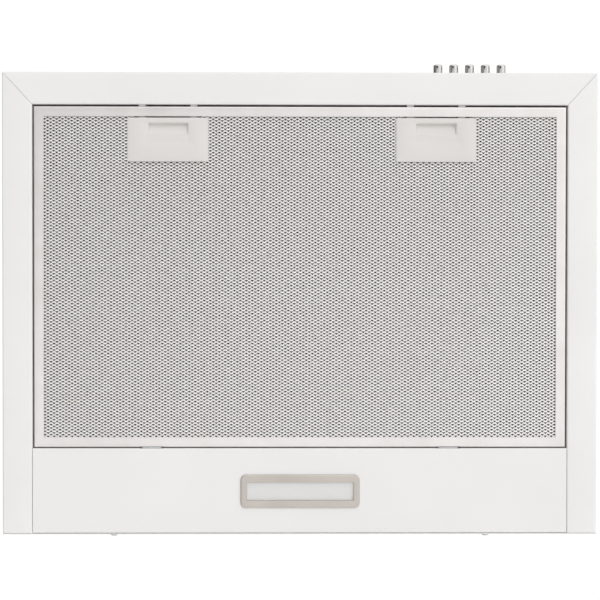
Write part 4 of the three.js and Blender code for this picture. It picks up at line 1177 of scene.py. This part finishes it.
def finish_model_nodes():
    """Nodes that keep the model's shape get their finish and softened edges."""
    slots = {part["node"]: part["material_slot"] for part in frame["record"]["subparts"]}
    for name, node in frame["nodes"].items():
        node.data.materials.clear()
        node.data.materials.append(SLOTS[slots[name]])
        weld = node.modifiers.new("joined", "WELD")
        weld.merge_threshold = 0.00001
        if name.endswith("_lead"):
            node.modifiers.new("round", "SUBSURF").render_levels = 2
        else:
            soften(node, 0.25 * MM, 2, 35)


# ---------------------------------------------------------------- studio

def camera():
    data = bpy.data.cameras.new("camera")
    data.lens = 83.3
    data.clip_end = 20
    eye = Vector((-0.0146, -0.0247, -1.530))
    aim = Vector((-0.0003, -0.0038, UNDER))
    back = (eye - aim).normalized()
    right = Vector((-0.001, -1, 0)).cross(back).normalized()
    up = back.cross(right)
    holder = bpy.data.objects.new("camera", data)
    holder.matrix_world = Matrix.Translation(eye) @ Matrix((right, up, back)).transposed().to_4x4()
    bpy.context.scene.collection.objects.link(holder)
    bpy.context.scene.camera = holder


def math_node(tree, operation, first, second):
    node = tree.nodes.new("ShaderNodeMath")
    node.operation = operation
    for socket, value in zip(node.inputs, (first, second)):
        if isinstance(value, (int, float)):
            socket.default_value = value
        else:
            tree.links.new(value, socket)
    return node.outputs[0]


def side_shade(tree, direction, start, end, bright, dim):
    """How bright the studio is as it turns towards a direction: bright until start, dim from end."""
    place = tree.nodes.new("ShaderNodeTexCoord")
    dot = tree.nodes.new("ShaderNodeVectorMath")
    dot.operation = "DOT_PRODUCT"
    dot.inputs[1].default_value = Vector(direction).normalized()
    reach = tree.nodes.new("ShaderNodeMapRange")
    reach.interpolation_type = "SMOOTHSTEP"
    reach.inputs["From Min"].default_value = start
    reach.inputs["From Max"].default_value = end
    reach.inputs["To Min"].default_value = bright
    reach.inputs["To Max"].default_value = dim
    tree.links.new(place.outputs["Generated"], dot.inputs[0])
    tree.links.new(dot.outputs["Value"], reach.inputs["Value"])
    return reach.outputs["Result"]


def world():
    """A white background. The light itself is stronger from the front, and weak from the left."""
    studio_world = bpy.data.worlds.new("studio")
    bpy.context.scene.world = studio_world
    studio_world.use_nodes = True
    tree = studio_world.node_tree
    light = tree.nodes["Background"]
    left = side_shade(tree, (-1.0, 0.0, 0.1), 0.3, 0.75, 1.0, 0.25)
    over = side_shade(tree, (0.0, 0.0, 1.0), -0.75, 0.15, 1.25, 0.6)
    rear = side_shade(tree, (0.0, 1.0, -0.3), -0.6, 0.8, 1.0, 0.7)
    shade = math_node(tree, "MULTIPLY", math_node(tree, "MULTIPLY", left, rear), over)
    shade = math_node(tree, "MULTIPLY", shade, LIGHT_LEVEL)
    path = tree.nodes.new("ShaderNodeLightPath")
    seen = math_node(tree, "MAXIMUM", math_node(tree, "MULTIPLY", path.outputs["Is Camera Ray"], 1.02),
                     math_node(tree, "MULTIPLY", shade, math_node(tree, "SUBTRACT", 1.0, path.outputs["Is Camera Ray"])))
    tree.links.new(seen, light.inputs["Strength"])
    light.inputs["Color"].default_value = (1.0, 1.0, 1.0, 1)


def floor():
    material, tree, shader = nodes_of("floor")
    shader.inputs["Roughness"].default_value = 0.6
    vary_colour(tree, shader, noise(tree, 3), (0.86, 0.86, 0.855), (0.88, 0.88, 0.875))
    half, z = 1.3, -2.3
    mesh = bpy.data.meshes.new("floor")
    mesh.from_pydata([(-half, -half, z), (half, -half, z), (half, half, z), (-half, half, z)], [], [(0, 1, 2, 3)])
    mesh.materials.append(material)
    plane = bpy.data.objects.new("floor", mesh)
    bpy.context.scene.collection.objects.link(plane)


def soft_light(name, place, aim, size, power):
    data = bpy.data.lights.new(name, "AREA")
    data.shape = "SQUARE"
    data.size = size
    data.energy = power
    holder = bpy.data.objects.new(name, data)
    holder.location = place
    holder.rotation_euler = (Vector(aim) - Vector(place)).to_track_quat("-Z", "Y").to_euler()
    holder.visible_camera = False
    bpy.context.scene.collection.objects.link(holder)


def dark_card():
    """A black card low on the left, out of the camera's sight, for the chrome to mirror."""
    material, tree, shader = nodes_of("dark_card")
    shader.inputs["Roughness"].default_value = 0.9
    vary_colour(tree, shader, noise(tree, 5), (0.02, 0.02, 0.02), (0.03, 0.03, 0.03))
    mesh = bpy.data.meshes.new("dark_card")
    x0, x1, y0, y1, z = -1.4, -0.01, -0.8, -0.5, -1.8
    mesh.from_pydata([(x0, y0, z), (x1, y0, z), (x1, y1, z), (x0, y1, z)], [], [(0, 1, 2, 3)])
    mesh.materials.append(material)
    card = bpy.data.objects.new("dark_card", mesh)
    card.visible_camera = False
    bpy.context.scene.collection.objects.link(card)


def studio():
    bpy.context.scene.view_settings.view_transform = "Standard"
    camera()
    world()
    floor()
    dark_card()
    soft_light("floor_light", (0, 0, -1.6), (0, 0, -2.3), 2.0, 12.5)


# ---------------------------------------------------------------- everything

studio()
finish_model_nodes()
front_fascia()
side_panel("left", -1)
side_panel("right", 1)
top_shell()
back_panel()
lamp_panel()
filter_frame()
filter_mesh()
for latch in LATCHES:
    latch_plate(latch)
    latch_slide(latch)
lamp()
for button in BUTTONS:
    push_button(button)
rear_screws()
for half, way in (("left", -1), ("right", 1)):
    volute(half, way)
    inlet_grille(half)
    latch_spring(half)
motor()
impeller()
roof_screws()
duct_collar()
flap("front", -1, (-35, 15))
flap("rear", 1, (-15, 35))
cable_gland()
terminal_box()
capacitor()
lamp_tray()
led_driver()
switch_bank()
